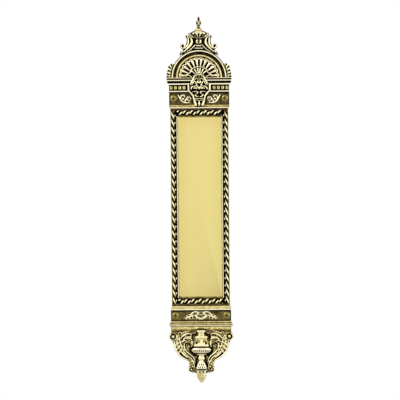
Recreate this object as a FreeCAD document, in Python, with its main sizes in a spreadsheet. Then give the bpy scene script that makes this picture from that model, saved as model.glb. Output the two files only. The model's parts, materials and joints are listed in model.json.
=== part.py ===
import FreeCAD, Part
import Sketcher
import math
import os

# Door finger plate: one brass casting, carved on its front, and the four raised
# countersunk screws that hold it to the door.
# Millimetres. X runs across the plate, Z up it, and the front faces -Y. The flat back
# lies in the plane Y = 0, and the origin is the middle of the plain push panel.

# Driving sizes: alias, then millimetres, or degrees where the name says so
SIZES = (
    # Plain push panel and the field that carries it
    ("panel_width", 54.4),
    ("panel_height", 225.0),
    ("panel_depth", 4.6),
    ("panel_corner", 2.0),
    ("panel_edge", 0.8),
    ("field_depth", 3.5),
    # Rope border round the panel
    ("rope_side_band", 9.05),
    ("rope_end_band", 8.0),
    ("rope_pitch", 9.2),
    ("rope_bar_length", 9.6),
    ("rope_bar_width", 3.6),
    ("rope_bevel", 1.1),
    ("rope_rise", 2.4),
    ("rope_slant_deg", 36.0),
    # Upper frieze, between the rope border and the cornice
    ("architrave_gap", 2.5),
    ("architrave_height", 4.75),
    ("architrave_lip", 2.0),
    ("architrave_depth", 6.6),
    ("frieze_overhang", 1.25),
    ("frieze_height", 15.5),
    ("frieze_depth", 5.0),
    # Cornice under the arch
    ("frieze_fillet_height", 2.0),
    ("frieze_fillet_depth", 6.6),
    ("dentil_band_height", 7.0),
    ("cornice_overhang", 2.5),
    ("cornice_fillet_height", 2.5),
    ("cornice_fillet_depth", 7.2),
    ("cornice_hollow_height", 2.5),
    ("cornice_hollow_depth", 6.0),
    ("corona_overhang", 4.35),
    ("corona_height", 1.7),
    ("corona_depth", 10.0),
    ("sill_groove_height", 1.1),
    ("sill_groove_depth", 8.0),
    ("sill_height", 1.3),
    ("sill_depth", 9.2),
    # Dentils on each side of the console
    ("dentil_inset", 2.6),
    ("dentil_pitch", 5.4),
    ("dentil_width", 3.5),
    ("dentil_height", 4.2),
    ("dentil_rise", 1.7),
    ("dentil_bevel", 0.6),
    # Arch and its shell
    ("arch_inset", 1.55),
    ("arch_depth", 8.6),
    ("arch_rim", 2.6),
    ("arch_cove", 3.7),
    ("arch_bead", 2.4),
    ("arch_bead_depth", 6.4),
    ("arch_field_depth", 5.0),
    ("shell_gap", 1.2),
    ("shell_step_deg", 15.0),
    ("rib_root_gap", 0.3),
    ("rib_root_half_width", 1.1),
    ("rib_tip_half_width", 2.5),
    ("shell_heart_radius", 12.6),
    ("shell_heart_depth", 6.4),
    ("heart_step_deg", 28.0),
    ("heart_rib_root", 4.6),
    ("heart_rib_gap", 1.0),
    ("heart_rib_half_width", 1.7),
    # Leaf at each side of the arch
    ("ear_height", 18.0),
    ("ear_depth", 5.0),
    ("ear_rib_half_width", 1.2),
    ("ear_rib_length", 6.5),
    # Lion mask over the cornice and the console below it
    ("mask_half_width", 8.4),
    ("mask_height", 20.0),
    ("mask_drop", 10.5),
    ("mask_depth", 9.0),
    ("mask_rise", 3.9),
    ("console_half_width", 13.2),
    ("console_depth", 8.0),
    ("tongue_depth", 7.6),
    ("tongue_band_half_width", 0.9),
    ("tongue_band_rise", 1.3),
    # Scrolls on the two friezes
    ("frieze_scroll_half_width", 0.85),
    ("frieze_scroll_rise", 1.5),
    # Lower frieze and the base mouldings under it
    ("lower_architrave_height", 6.25),
    ("lower_frieze_height", 12.5),
    ("base_ogee_height", 2.6),
    ("base_ogee_depth", 6.4),
    ("base_fillet_height", 1.6),
    ("base_fillet_depth", 7.6),
    ("base_corona_overhang", 3.45),
    ("base_corona_height", 2.6),
    ("base_corona_depth", 9.0),
    ("base_cove_height", 3.2),
    ("base_cove_depth", 6.2),
    # Crest above the arch
    ("crest_height", 41.4),
    ("crest_field_depth", 3.6),
    ("crest_foot_depth", 5.0),
    ("crest_step_rise", 1.2),
    ("crest_scroll_depth", 6.4),
    ("crest_scroll_half_width", 1.4),
    ("crest_urn_stilt", 2.2),
    ("crest_urn_depth", 9.0),
    # Pendant below the base mouldings
    ("pendant_overhang", 3.9),
    ("pendant_height", 67.9),
    ("pendant_field_depth", 3.6),
    ("pendant_scroll_depth", 7.0),
    ("pendant_scroll_half_width", 1.5),
    ("pendant_urn_stilt", 2.4),
    ("pendant_urn_depth", 10.6),
    # Fixing screws: raised countersunk heads with a cross recess
    ("screw_edge", 5.5),
    ("screw_head_radius", 4.15),
    ("screw_head_rise", 1.3),
    ("screw_head_cone", 2.05),
    ("screw_shank_radius", 2.1),
    ("screw_core_radius", 1.65),
    ("screw_core_length", 15.0),
    ("screw_point_length", 5.0),
    ("screw_point_radius", 0.25),
    ("recess_length", 4.6),
    ("recess_width", 1.1),
    ("recess_depth", 2.0),
    ("hole_clearance", 0.3),
    ("seat_clearance", 0.05),
)

RIBS_IN_SHELL = 12
RIBS_IN_HEART = 5
DENTILS_PER_SIDE = 4
FACETS_IN_ARC = 3
FACETS_IN_TURN = 8
FACETS_IN_HALF_TURN = 4
FACETS_IN_KNOB = 6
TURNS_IN_VOLUTE = 0.9
VOLUTE_EYE_SHARE = 0.42
VOLUTE_END_WIDTH_SHARE = 0.7
SQUARE_IN_CIRCLE = 0.7
DRAWN_SCROLL_HALF_WIDTH = 1.5
SIDES = (("left", -1), ("right", 1))
# A dome's rings, each as shares of its half width and of its rise
KNOB_RINGS = ((1.1, -0.3), (0.8, 0.62), (0.45, 1.0))
# A rib's cross section, as shares of its half width: across, then out
RIB_PROFILE = ((-1.2, -0.3), (-0.5, 0.9), (0.5, 0.9), (1.2, -0.3))

UP = FreeCAD.Vector(0, 0, 1)
ACROSS = FreeCAD.Vector(1, 0, 0)
FRONT = FreeCAD.Vector(0, -1, 0)
FACING_FRONT = FreeCAD.Rotation(UP, FRONT)

doc = FreeCAD.newDocument("finger_plate")
sheet = doc.addObject("Spreadsheet::Sheet", "Sizes")
for row, (alias, value) in enumerate(SIZES, start=1):
    sheet.set(f"A{row}", alias)
    sheet.set(f"B{row}", str(value))
    sheet.setAlias(f"B{row}", alias)
doc.recompute()

# Widths and heights that follow from the driving sizes
PLATE_WIDTH = "(Sizes.panel_width + 2 * Sizes.rope_side_band)"
FRIEZE_WIDTH = f"({PLATE_WIDTH} + 2 * Sizes.frieze_overhang)"
CORNICE_WIDTH = f"({PLATE_WIDTH} + 2 * Sizes.cornice_overhang)"
CORONA_WIDTH = f"({PLATE_WIDTH} + 2 * Sizes.corona_overhang)"
BASE_CORONA_WIDTH = f"({PLATE_WIDTH} + 2 * Sizes.base_corona_overhang)"
PENDANT_HALF_WIDTH = f"({PLATE_WIDTH} / 2 + Sizes.pendant_overhang)"
FIELD_TOP = "(Sizes.panel_height / 2 + Sizes.rope_end_band)"
FRIEZE_LOW = f"({FIELD_TOP} + Sizes.architrave_gap + Sizes.architrave_height)"
FRIEZE_MIDDLE = f"({FRIEZE_LOW} + Sizes.frieze_height / 2)"
FRIEZE_HIGH = f"({FRIEZE_LOW} + Sizes.frieze_height)"
DENTIL_LOW = f"({FRIEZE_HIGH} + Sizes.frieze_fillet_height)"
DENTIL_HIGH = f"({DENTIL_LOW} + Sizes.dentil_band_height)"
HOLLOW_LOW = f"({DENTIL_HIGH} + Sizes.cornice_fillet_height)"
CORONA_LOW = f"({HOLLOW_LOW} + Sizes.cornice_hollow_height)"
GROOVE_LOW = f"({CORONA_LOW} + Sizes.corona_height)"
SILL_LOW = f"({GROOVE_LOW} + Sizes.sill_groove_height)"
ARCH_LOW = f"({SILL_LOW} + Sizes.sill_height)"
ARCH_RADIUS = f"({PLATE_WIDTH} / 2 - Sizes.arch_inset)"
ARCH_TOP = f"({ARCH_LOW} + {ARCH_RADIUS})"
BEAD_INNER = f"({ARCH_RADIUS} - Sizes.arch_rim - Sizes.arch_cove - Sizes.arch_bead)"
LOWER_FRIEZE_HIGH = f"(-{FIELD_TOP} - Sizes.architrave_gap - Sizes.lower_architrave_height)"
LOWER_FRIEZE_MIDDLE = f"({LOWER_FRIEZE_HIGH} - Sizes.lower_frieze_height / 2)"
LOWER_FRIEZE_LOW = f"({LOWER_FRIEZE_HIGH} - Sizes.lower_frieze_height)"
BASE_FILLET_HIGH = f"({LOWER_FRIEZE_LOW} - Sizes.base_ogee_height)"
BASE_CORONA_HIGH = f"({BASE_FILLET_HIGH} - Sizes.base_fillet_height)"
BASE_COVE_HIGH = f"({BASE_CORONA_HIGH} - Sizes.base_corona_height)"
PENDANT_TOP = f"({BASE_COVE_HIGH} - Sizes.base_cove_height)"
SCREW_X = f"({FRIEZE_WIDTH} / 2 - Sizes.screw_edge)"


def size(alias):
    """The expression that reads one driving size."""
    return f"Sizes.{alias}"


def number(expression):
    """The present value of an expression, for shapes drawn point by point."""
    return float(sheet.evalExpression(expression))


def bind(thing, **expressions):
    """Ties properties of a document object to expressions."""
    for name, expression in expressions.items():
        thing.setExpression(name, expression)


def place(thing, x="0", depth="0", z="0"):
    """Puts an object's own origin at a place on the plate, depth in front of the back."""
    places = {"Placement.Base.x": x, "Placement.Base.y": f"-({depth})", "Placement.Base.z": z}
    bind(thing, **places)


def block(name, width, depth, z_low, z_high):
    """A plain course across the plate, from the back to its depth."""
    course = doc.addObject("Part::Box", name)
    bind(course, Length=width, Width=depth, Height=f"{z_high} - {z_low}")
    place(course, x=f"-{width} / 2", depth=depth, z=z_low)
    return course


def sloped_course(name, width, foot_depth, top_depth, lip, z_low, z_high):
    """A course with a lip at its lower edge, and a front that slopes back above it."""
    course = doc.addObject("Part::Wedge", name)
    bind(
        course,
        Xmin=f"-{width} / 2",
        Xmax=f"{width} / 2",
        X2min=f"-{width} / 2",
        X2max=f"{width} / 2",
        Ymin=f"-{foot_depth}",
        Ymax=f"-{top_depth}",
        Zmin="0",
        Zmax=lip,
        Z2min="0",
        Z2max=f"{z_high} - {z_low}",
    )
    place(course, z=z_low)
    return course


def bevelled_bar(name, length, width, rise, bevel, slant, x, depth, z):
    """A bar with bevelled sides that stands on a field, turned by slant in the plate's plane."""
    bar = doc.addObject("Part::Wedge", name)
    bind(
        bar,
        Xmin=f"-({length} / 2 - {bevel})",
        Xmax=f"{length} / 2 - {bevel}",
        X2min=f"-{length} / 2",
        X2max=f"{length} / 2",
        Ymin=f"-{rise}",
        Ymax=f"{depth} / 2",
        Zmin=f"-({width} / 2 - {bevel})",
        Zmax=f"{width} / 2 - {bevel}",
        Z2min=f"-{width} / 2",
        Z2max=f"{width} / 2",
    )
    bar.Placement.Rotation = FreeCAD.Rotation(FRONT, 1)
    bind(bar, **{"Placement.Rotation.Angle": slant})
    place(bar, x=x, depth=depth, z=z)
    return bar


def upright(name, radius, x, depth, z):
    """A round boss from the back to its depth."""
    boss = doc.addObject("Part::Cylinder", name)
    boss.Placement.Rotation = FACING_FRONT
    bind(boss, Radius=radius, Height=depth)
    place(boss, x=x, z=z)
    return boss


def carved(name, shapes):
    """One carving of several shapes that are drawn point by point."""
    thing = doc.addObject("Part::Feature", name)
    thing.Shape = shapes[0].multiFuse(shapes[1:]) if len(shapes) > 1 else shapes[0]
    return thing


def drawing(half_width, drawn_half_width, height, drawn_height, z_zero):
    """Outlines are drawn in millimetres at a drawn size, and stretched to the sizes in use."""
    across = number(half_width) / drawn_half_width
    along = number(height) / drawn_height
    zero = number(z_zero)
    return lambda x, z: FreeCAD.Vector(x * across, 0, zero + z * along)


def arcs(points):
    """A path of arcs, each through three points in turn, that share their ends."""
    return [Part.Arc(*points[i : i + 3]).toShape() for i in range(0, len(points) - 2, 2)]


def raised(edges, depth):
    """The solid from the back to a depth inside a closed outline."""
    return Part.Face(Part.Wire(Part.__sortEdges__(edges))).extrude(FRONT * depth)


def lines(points):
    """Straight edges from point to point."""
    return [Part.LineSegment(a, b).toShape() for a, b in zip(points, points[1:])]


def band(path, half_width, depth, end_share):
    """A flat-topped band along a path of points. Its width shrinks to a share at the path's end."""
    left, right = [], []
    for i, middle in enumerate(path):
        along = path[min(i + 1, len(path) - 1)] - path[max(i - 1, 0)]
        aside = along.cross(FRONT).normalize()
        reach = half_width * (1 + (end_share - 1) * i / (len(path) - 1))
        left.append(middle + aside * reach)
        right.append(middle - aside * reach)
    outline = left + right[::-1]
    return Part.Face(Part.makePolygon(outline + outline[:1])).extrude(FRONT * depth)


def stroke(points, half_width, depth, end_share=1.0):
    """A band along a path of arcs, each cut into short straight facets."""
    path = []
    for arc in arcs(points):
        facets = arc.discretize(Number=FACETS_IN_ARC + 1)
        if path and (facets[0] - path[-1]).Length > (facets[-1] - path[-1]).Length:
            facets.reverse()
        path += facets[1:] if path else facets
    return band(path, half_width, depth, end_share)


def volute(centre, radius, start_deg, hand, half_width, depth):
    """A spiral band that winds in to its eye. Hand is 1 for a turn to the left, -1 to the right."""
    path = []
    count = round(FACETS_IN_TURN * TURNS_IN_VOLUTE)
    for i in range(count + 1):
        angle = math.radians(start_deg + hand * 360 * i / FACETS_IN_TURN)
        reach = radius * (1 - (1 - VOLUTE_EYE_SHARE) * i / count)
        path.append(centre + FreeCAD.Vector(math.cos(angle), 0, math.sin(angle)) * reach)
    return band(path, half_width, depth, VOLUTE_END_WIDTH_SHARE)


def flat_faced(sections):
    """A solid with flat faces between like polygons, listed in turn along it. Each polygon runs
    clockwise as it is seen from the start, so that every face looks outward."""
    faces = [polygon_face(sections[0][::-1]), polygon_face(sections[-1])]
    count = len(sections[0])
    for one, two in zip(sections, sections[1:]):
        for i in range(count):
            j = (i + 1) % count
            faces.append(polygon_face([one[i], one[j], two[j], two[i]]))
    return Part.Solid(Part.Shell(faces))


def polygon_face(points):
    return Part.Face(Part.makePolygon(points + points[:1]))


def knob(centre, half_width, half_height, rise):
    """A faceted dome on the plane of the given centre, with a root that reaches below that plane."""
    sections = []
    for share, height in KNOB_RINGS:
        ring = []
        for i in range(FACETS_IN_KNOB):
            angle = 2 * math.pi * (i + 0.5) / FACETS_IN_KNOB
            x = half_width * share * math.cos(angle)
            z = half_height * share * math.sin(angle)
            ring.append(centre + FreeCAD.Vector(x, -rise * height, z))
        sections.append(ring)
    return flat_faced(sections)


def rib(start, turn_deg, length, root_half_width, tip_half_width):
    """A straight rib with bevelled sides that widens from its root to a blunt end."""
    along = FreeCAD.Rotation(FRONT, -turn_deg).multVec(UP)
    aside = along.cross(FRONT)
    stations = (
        (0.0, root_half_width),
        (length - tip_half_width, tip_half_width),
        (length - 0.3 * tip_half_width, 0.8 * tip_half_width),
        (length, 0.3 * tip_half_width),
    )
    sections = []
    for distance, half in stations:
        middle = start + along * distance
        sections.append([middle + aside * (a * half) + FRONT * (b * half) for a, b in RIB_PROFILE])
    return flat_faced(sections)


def turned_relief(profile, stilt, depth):
    """A turned form in half relief, in flat facets: its outline stands out by stilt, and the round
    front on that is flattened so that its widest place reaches depth."""
    flatten = (depth - stilt) / max(point.x for point in profile)
    sections = []
    for point in profile:
        ring = [FreeCAD.Vector(-point.x, 0, point.z), FreeCAD.Vector(point.x, 0, point.z)]
        for i in range(FACETS_IN_HALF_TURN + 1):
            angle = math.pi * i / FACETS_IN_HALF_TURN
            out = stilt + flatten * point.x * math.sin(angle)
            ring.append(FreeCAD.Vector(point.x * math.cos(angle), -out, point.z))
        sections.append(ring)
    return flat_faced(sections)


def mirror(shape):
    return shape.mirror(FreeCAD.Vector(), ACROSS)


def both_sides(shapes):
    return shapes + [mirror(shape) for shape in shapes]


def push_panel():
    """The plain panel, with rounded corners and a bevelled front edge."""
    body = doc.addObject("PartDesign::Body", "push_panel")
    plane = next(o for o in body.Origin.OriginFeatures if o.Role == "XZ_Plane")
    sketch = body.newObject("Sketcher::SketchObject", "panel_outline")
    sketch.AttachmentSupport = (plane, "")
    sketch.MapMode = "FlatFace"
    half_x = number(size("panel_width")) / 2
    half_z = number(size("panel_height")) / 2
    corners = [(-half_x, -half_z), (half_x, -half_z), (half_x, half_z), (-half_x, half_z)]
    corners = [FreeCAD.Vector(x, y, 0) for x, y in corners]
    for i in range(4):
        sketch.addGeometry(Part.LineSegment(corners[i], corners[(i + 1) % 4]))
    for i in range(4):
        sketch.addConstraint(Sketcher.Constraint("Coincident", i, 2, (i + 1) % 4, 1))
    for i, direction in enumerate(("Horizontal", "Vertical", "Horizontal", "Vertical")):
        sketch.addConstraint(Sketcher.Constraint(direction, i))
    sketch.addConstraint(Sketcher.Constraint("Symmetric", 0, 1, 1, 2, -1, 1))
    wide = sketch.addConstraint(Sketcher.Constraint("DistanceX", 0, 1, 0, 2, 2 * half_x))
    tall = sketch.addConstraint(Sketcher.Constraint("DistanceY", 1, 1, 1, 2, 2 * half_z))
    bind(sketch, **{f"Constraints[{wide}]": size("panel_width")})
    bind(sketch, **{f"Constraints[{tall}]": size("panel_height")})
    pad = body.newObject("PartDesign::Pad", "panel_pad")
    pad.Profile = sketch
    bind(pad, Length=size("panel_depth"))
    doc.recompute()
    pad.Reversed = pad.Shape.BoundBox.Center.y > 0
    doc.recompute()
    corner = body.newObject("PartDesign::Fillet", "panel_corners")
    corner.Base = (pad, edges_of(pad, lambda box: box.YLength > box.XLength + box.ZLength))
    bind(corner, Radius=size("panel_corner"))
    doc.recompute()
    bevel = body.newObject("PartDesign::Chamfer", "panel_bevel")
    front = -number(size("panel_depth"))
    bevel.Base = (corner, edges_of(corner, lambda box: box.YMax < front / 2))
    bind(bevel, Size=size("panel_edge"))
    body.Tip = bevel
    return [body]


def edges_of(feature, test):
    """The names of a feature's edges whose box passes a test."""
    return [f"Edge{i}" for i, e in enumerate(feature.Shape.Edges, start=1) if test(e.BoundBox)]


def rope_run(name, length, along_x, x, z, slant):
    """One straight run of the rope border, as slanted strands at an even pitch."""
    count = max(1, round(number(length) / number(size("rope_pitch"))))
    strands = []
    for i in range(count):
        offset = f"({length}) * {(i + 0.5) / count - 0.5}"
        strands.append(
            bevelled_bar(
                f"{name}_{i + 1}",
                size("rope_bar_length"),
                size("rope_bar_width"),
                size("rope_rise"),
                size("rope_bevel"),
                slant,
                x=f"{x} + {offset}" if along_x else x,
                depth=size("field_depth"),
                z=z if along_x else f"{z} + {offset}",
            )
        )
    return strands


def field_and_rope():
    """The field under the panel, with the rope that runs round the panel on it."""
    pieces = [block("field", PLATE_WIDTH, size("field_depth"), f"-{FIELD_TOP}", FIELD_TOP)]
    side_x = "(Sizes.panel_width / 2 + Sizes.rope_side_band / 2)"
    end_z = "(Sizes.panel_height / 2 + Sizes.rope_end_band / 2)"
    for word, sign in SIDES:
        slant = f"{size('rope_slant_deg')} - 90"
        pieces += rope_run(
            f"rope_{word}", f"2 * {FIELD_TOP}", False, f"{sign} * {side_x}", "0", slant
        )
    for word, sign in (("top", 1), ("bottom", -1)):
        slant = size("rope_slant_deg")
        pieces += rope_run(
            f"rope_{word}", size("panel_width"), True, "0", f"{sign} * {end_z}", slant
        )
    return pieces


def courses():
    """The straight mouldings above and below the field."""
    gap_high = f"({FIELD_TOP} + Sizes.architrave_gap)"
    frieze = size("frieze_depth")
    pieces = [
        block("architrave_gap", PLATE_WIDTH, size("field_depth"), FIELD_TOP, gap_high),
        sloped_course(
            "architrave",
            FRIEZE_WIDTH,
            size("architrave_depth"),
            "0",
            size("architrave_lip"),
            gap_high,
            FRIEZE_LOW,
        ),
        block("architrave_back", FRIEZE_WIDTH, size("field_depth"), gap_high, FRIEZE_LOW),
        block("upper_frieze", FRIEZE_WIDTH, frieze, FRIEZE_LOW, FRIEZE_HIGH),
        block(
            "frieze_fillet", FRIEZE_WIDTH, size("frieze_fillet_depth"), FRIEZE_HIGH, DENTIL_LOW
        ),
        block("dentil_band", FRIEZE_WIDTH, frieze, DENTIL_LOW, DENTIL_HIGH),
        block(
            "cornice_fillet", CORNICE_WIDTH, size("cornice_fillet_depth"), DENTIL_HIGH, HOLLOW_LOW
        ),
        block(
            "cornice_hollow", CORNICE_WIDTH, size("cornice_hollow_depth"), HOLLOW_LOW, CORONA_LOW
        ),
        block("corona", CORONA_WIDTH, size("corona_depth"), CORONA_LOW, GROOVE_LOW),
        block("sill_groove", CORONA_WIDTH, size("sill_groove_depth"), GROOVE_LOW, SILL_LOW),
        block("sill", CORONA_WIDTH, size("sill_depth"), SILL_LOW, ARCH_LOW),
    ]
    lower_gap = f"(-{FIELD_TOP} - Sizes.architrave_gap)"
    base_fillet = size("base_fillet_depth")
    pieces += [
        block("lower_gap", PLATE_WIDTH, size("field_depth"), lower_gap, f"-{FIELD_TOP}"),
        sloped_course(
            "lower_architrave",
            FRIEZE_WIDTH,
            size("architrave_depth"),
            "0",
            size("architrave_lip"),
            LOWER_FRIEZE_HIGH,
            lower_gap,
        ),
        block(
            "lower_architrave_back", PLATE_WIDTH, size("field_depth"), LOWER_FRIEZE_HIGH, lower_gap
        ),
        block("lower_frieze", FRIEZE_WIDTH, frieze, LOWER_FRIEZE_LOW, LOWER_FRIEZE_HIGH),
        block(
            "base_ogee", FRIEZE_WIDTH, size("base_ogee_depth"), BASE_FILLET_HIGH, LOWER_FRIEZE_LOW
        ),
        block("base_fillet", CORNICE_WIDTH, base_fillet, BASE_CORONA_HIGH, BASE_FILLET_HIGH),
        block(
            "base_corona",
            BASE_CORONA_WIDTH,
            size("base_corona_depth"),
            BASE_COVE_HIGH,
            BASE_CORONA_HIGH,
        ),
        block("base_cove", FRIEZE_WIDTH, size("base_cove_depth"), PENDANT_TOP, BASE_COVE_HIGH),
    ]
    return pieces


def dentils():
    """Bevelled dentils in the band on each side of the console."""
    pieces = []
    for word, sign in SIDES:
        for i in range(DENTILS_PER_SIDE):
            from_middle = (
                f"{FRIEZE_WIDTH} / 2 - Sizes.dentil_inset - {i} * Sizes.dentil_pitch"
            )
            pieces.append(
                bevelled_bar(
                    f"dentil_{word}_{i + 1}",
                    size("dentil_width"),
                    size("dentil_height"),
                    size("dentil_rise"),
                    size("dentil_bevel"),
                    "0",
                    x=f"{sign} * ({from_middle})",
                    depth=size("frieze_depth"),
                    z=f"{DENTIL_LOW} + Sizes.dentil_band_height / 2",
                )
            )
    return pieces


def half_disc(name, radius, depth, z_low):
    """The upper half of a disc, from the back to its depth."""
    half = doc.addObject("Part::Cylinder", name)
    half.Placement.Rotation = FACING_FRONT
    half.Angle = 180
    bind(half, Radius=radius, Height=depth)
    place(half, z=z_low)
    return half


def half_ring(name, outer, inner, depth):
    """A raised band round the arch, between two radii."""
    band_cut = doc.addObject("Part::Cut", name)
    band_cut.Base = half_disc(f"{name}_outer", outer, depth, ARCH_LOW)
    band_cut.Tool = half_disc(f"{name}_inner", inner, depth, ARCH_LOW)
    return band_cut


def arch():
    """The arch: a rim, a sunk cove, a bead and the field that carries the shell."""
    rim_inner = f"({ARCH_RADIUS} - Sizes.arch_rim)"
    bead_outer = f"({rim_inner} - Sizes.arch_cove)"
    return [
        half_disc("arch_field", ARCH_RADIUS, size("arch_field_depth"), ARCH_LOW),
        half_ring("arch_rim", ARCH_RADIUS, rim_inner, size("arch_depth")),
        half_ring("arch_bead", bead_outer, BEAD_INNER, size("arch_bead_depth")),
    ]


def fan(count, step_deg, root_radius, end_radius, depth, root_half_width, tip_half_width):
    """Ribs that spread from the arch's centre, over a field of the given depth."""
    ribs = []
    for i in range(count):
        turn_deg = (i - (count - 1) / 2) * step_deg
        outward = FreeCAD.Rotation(FRONT, -turn_deg).multVec(UP)
        start = FreeCAD.Vector(0, -depth, number(ARCH_LOW)) + outward * root_radius
        ribs.append(rib(start, turn_deg, end_radius - root_radius, root_half_width, tip_half_width))
    return ribs


def shell():
    """The scallop shell in the arch: long ribs round a smaller fan."""
    heart_radius = number(size("shell_heart_radius"))
    heart_depth = number(size("shell_heart_depth"))
    long_ribs = fan(
        RIBS_IN_SHELL,
        number(size("shell_step_deg")),
        heart_radius + number(size("rib_root_gap")),
        number(f"{BEAD_INNER} - Sizes.shell_gap"),
        number(size("arch_field_depth")),
        number(size("rib_root_half_width")),
        number(size("rib_tip_half_width")),
    )
    short_ribs = fan(
        RIBS_IN_HEART,
        number(size("heart_step_deg")),
        number(size("heart_rib_root")),
        heart_radius - number(size("heart_rib_gap")),
        heart_depth,
        number(size("heart_rib_half_width")) / 2,
        number(size("heart_rib_half_width")),
    )
    heart = half_disc(
        "shell_heart", size("shell_heart_radius"), size("shell_heart_depth"), ARCH_LOW
    )
    return [heart, carved("shell_ribs", long_ribs), carved("heart_ribs", short_ribs)]


def ears():
    """A leaf that fills the corner between the sill and the arch on each side."""
    point = drawing(f"{CORONA_WIDTH} / 2", 40.6, size("ear_height"), 18.0, ARCH_LOW)
    depth = number(size("ear_depth"))
    outline = arcs([point(40.4, 0), point(39.4, 10.0), point(33.4, 17.6)])
    outline += lines([point(33.4, 17.6), point(28.0, 17.6), point(28.0, 0), point(40.4, 0)])
    shapes = [raised(outline, depth)]
    half = number(size("ear_rib_half_width"))
    length = number(size("ear_rib_length"))
    for x, z, turn_deg in ((36.2, 1.2, 34), (35.8, 5.4, 20), (34.6, 9.6, 4)):
        shapes.append(rib(point(x, z) + FRONT * depth, turn_deg, length, half / 2, half))
    return [carved("ear_leaves", both_sides(shapes))]


# Lion mask as it is drawn: for each lump, its place across and up, then half its width and
# height, and its rise
MASK_DRAWN_HALF_WIDTH = 8.4
MASK_DRAWN_HEIGHT = 20.0
MASK_DRAWN_RISE = 3.9
MASK_MIDDLE = (
    ("skull", 0.0, 13.6, 5.4, 5.6, 2.4),
    ("nose", 0.0, 11.6, 1.7, 4.2, 3.9),
    ("chin", 0.0, 1.5, 2.3, 1.7, 2.0),
)
MASK_PAIRS = (
    ("brow", 2.9, 15.6, 2.1, 1.4, 3.2),
    ("jowl", 1.9, 8.0, 2.0, 2.0, 3.2),
    ("ear", 5.9, 18.0, 1.7, 1.8, 1.6),
    ("mane_side", 7.0, 11.4, 1.6, 3.2, 1.4),
    ("mane_low", 5.4, 4.2, 1.8, 2.9, 1.4),
)


def mask():
    """The lion mask in front of the cornice."""
    low = f"({CORONA_LOW} - Sizes.mask_drop)"
    point = drawing(
        size("mask_half_width"),
        MASK_DRAWN_HALF_WIDTH,
        size("mask_height"),
        MASK_DRAWN_HEIGHT,
        low,
    )
    wide = number(size("mask_half_width")) / MASK_DRAWN_HALF_WIDTH
    tall = number(size("mask_height")) / MASK_DRAWN_HEIGHT
    rise = number(size("mask_rise")) / MASK_DRAWN_RISE
    depth = number(size("mask_depth"))

    def feature(x, z, half_width, half_height, height):
        centre = point(x, z) + FRONT * depth
        return knob(centre, half_width * wide, half_height * tall, height * rise)

    right = [point(3.4, 0.4), point(7.4, 5.4), point(7.8, 14.6), point(4.4, 19.6)]
    left = [FreeCAD.Vector(-p.x, p.y, p.z) for p in reversed(right)]
    shapes = [polygon_face(right + left).extrude(FRONT * depth)]
    shapes += [feature(*measures) for name, *measures in MASK_MIDDLE]
    shapes += both_sides([feature(*measures) for name, *measures in MASK_PAIRS])
    return [carved("mask", shapes)]


def console():
    """The block that breaks forward under the mask, and the tapered tongue below it."""
    upper = block(
        "console", "(2 * Sizes.console_half_width)", size("console_depth"), DENTIL_LOW, HOLLOW_LOW
    )
    foot = f"({FIELD_TOP} + Sizes.architrave_gap)"
    point = drawing(size("console_half_width"), 13.2, f"{DENTIL_LOW} - {foot}", 22.25, foot)
    depth = number(size("tongue_depth"))
    right = arcs([point(13.2, 22.25), point(10.0, 20.0), point(9.0, 16.2)])
    right += lines([point(9.0, 16.2), point(6.2, 0)])
    ends = lines([point(-13.2, 22.25), point(13.2, 22.25)])
    ends += lines([point(-6.2, 0), point(6.2, 0)])
    shapes = [raised(right + [mirror(edge) for edge in right] + ends, depth)]
    half = number(size("tongue_band_half_width"))
    top = depth + number(size("tongue_band_rise"))
    curl = volute(point(4.4, 19.6), 3.0 * half, 90, -1, half, top)
    crescent = stroke([point(1.4, 15.0), point(4.2, 13.0), point(6.4, 15.8)], half, top)
    edge = stroke([point(8.0, 17.0), point(7.0, 9.0), point(5.2, 1.0)], half, top)
    shapes += both_sides([curl, crescent, edge])
    shapes.append(stroke([point(-6.0, 10.4), point(0, 9.6), point(6.0, 10.4)], half, top))
    for x in (-3.4, 0.0, 3.4):
        shapes.append(knob(point(x, 4.4) + FRONT * depth, 1.7 * half, 4.6 * half, top - depth))
    return [upper, carved("tongue", shapes)]


def frieze_scrolls():
    """Leafy scrolls on the upper frieze, and the swag on the lower one."""
    half = number(size("frieze_scroll_half_width"))
    depth = number("Sizes.frieze_depth + Sizes.frieze_scroll_rise")
    point = drawing(SCREW_X, 32.0, size("frieze_height"), 15.5, FRIEZE_MIDDLE)
    stem = [
        point(26.2, 3.9),
        point(23.6, -1.4),
        point(20.0, -4.4),
        point(17.0, -5.2),
        point(14.2, -4.4),
    ]
    shapes = [
        stroke(stem, half, depth),
        volute(point(20.6, -1.0), 3.4 * half, -60, 1, half * 0.9, depth),
        volute(point(14.2, -1.6), 3.0 * half, -60, 1, half * 0.9, depth),
    ]
    upper = carved("upper_scrolls", both_sides(shapes))
    point = drawing(SCREW_X, 32.0, size("lower_frieze_height"), 12.5, LOWER_FRIEZE_MIDDLE)
    swag = [point(-6.4, 0.6), point(0, -4.0), point(6.4, 0.6)]
    shapes = [
        stroke([point(6.0, 3.4), point(13.4, 2.4), point(19.6, -2.4)], half, depth),
        stroke([point(13.4, 1.6), point(12.6, -1.2), point(10.2, -3.0)], half, depth),
        volute(point(4.4, 2.6), 2.2 * half, 200, -1, half * 0.8, depth),
    ]
    lower = carved("lower_swag", both_sides(shapes) + [stroke(swag, 1.5 * half, depth)])
    return [upper, lower]


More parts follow.
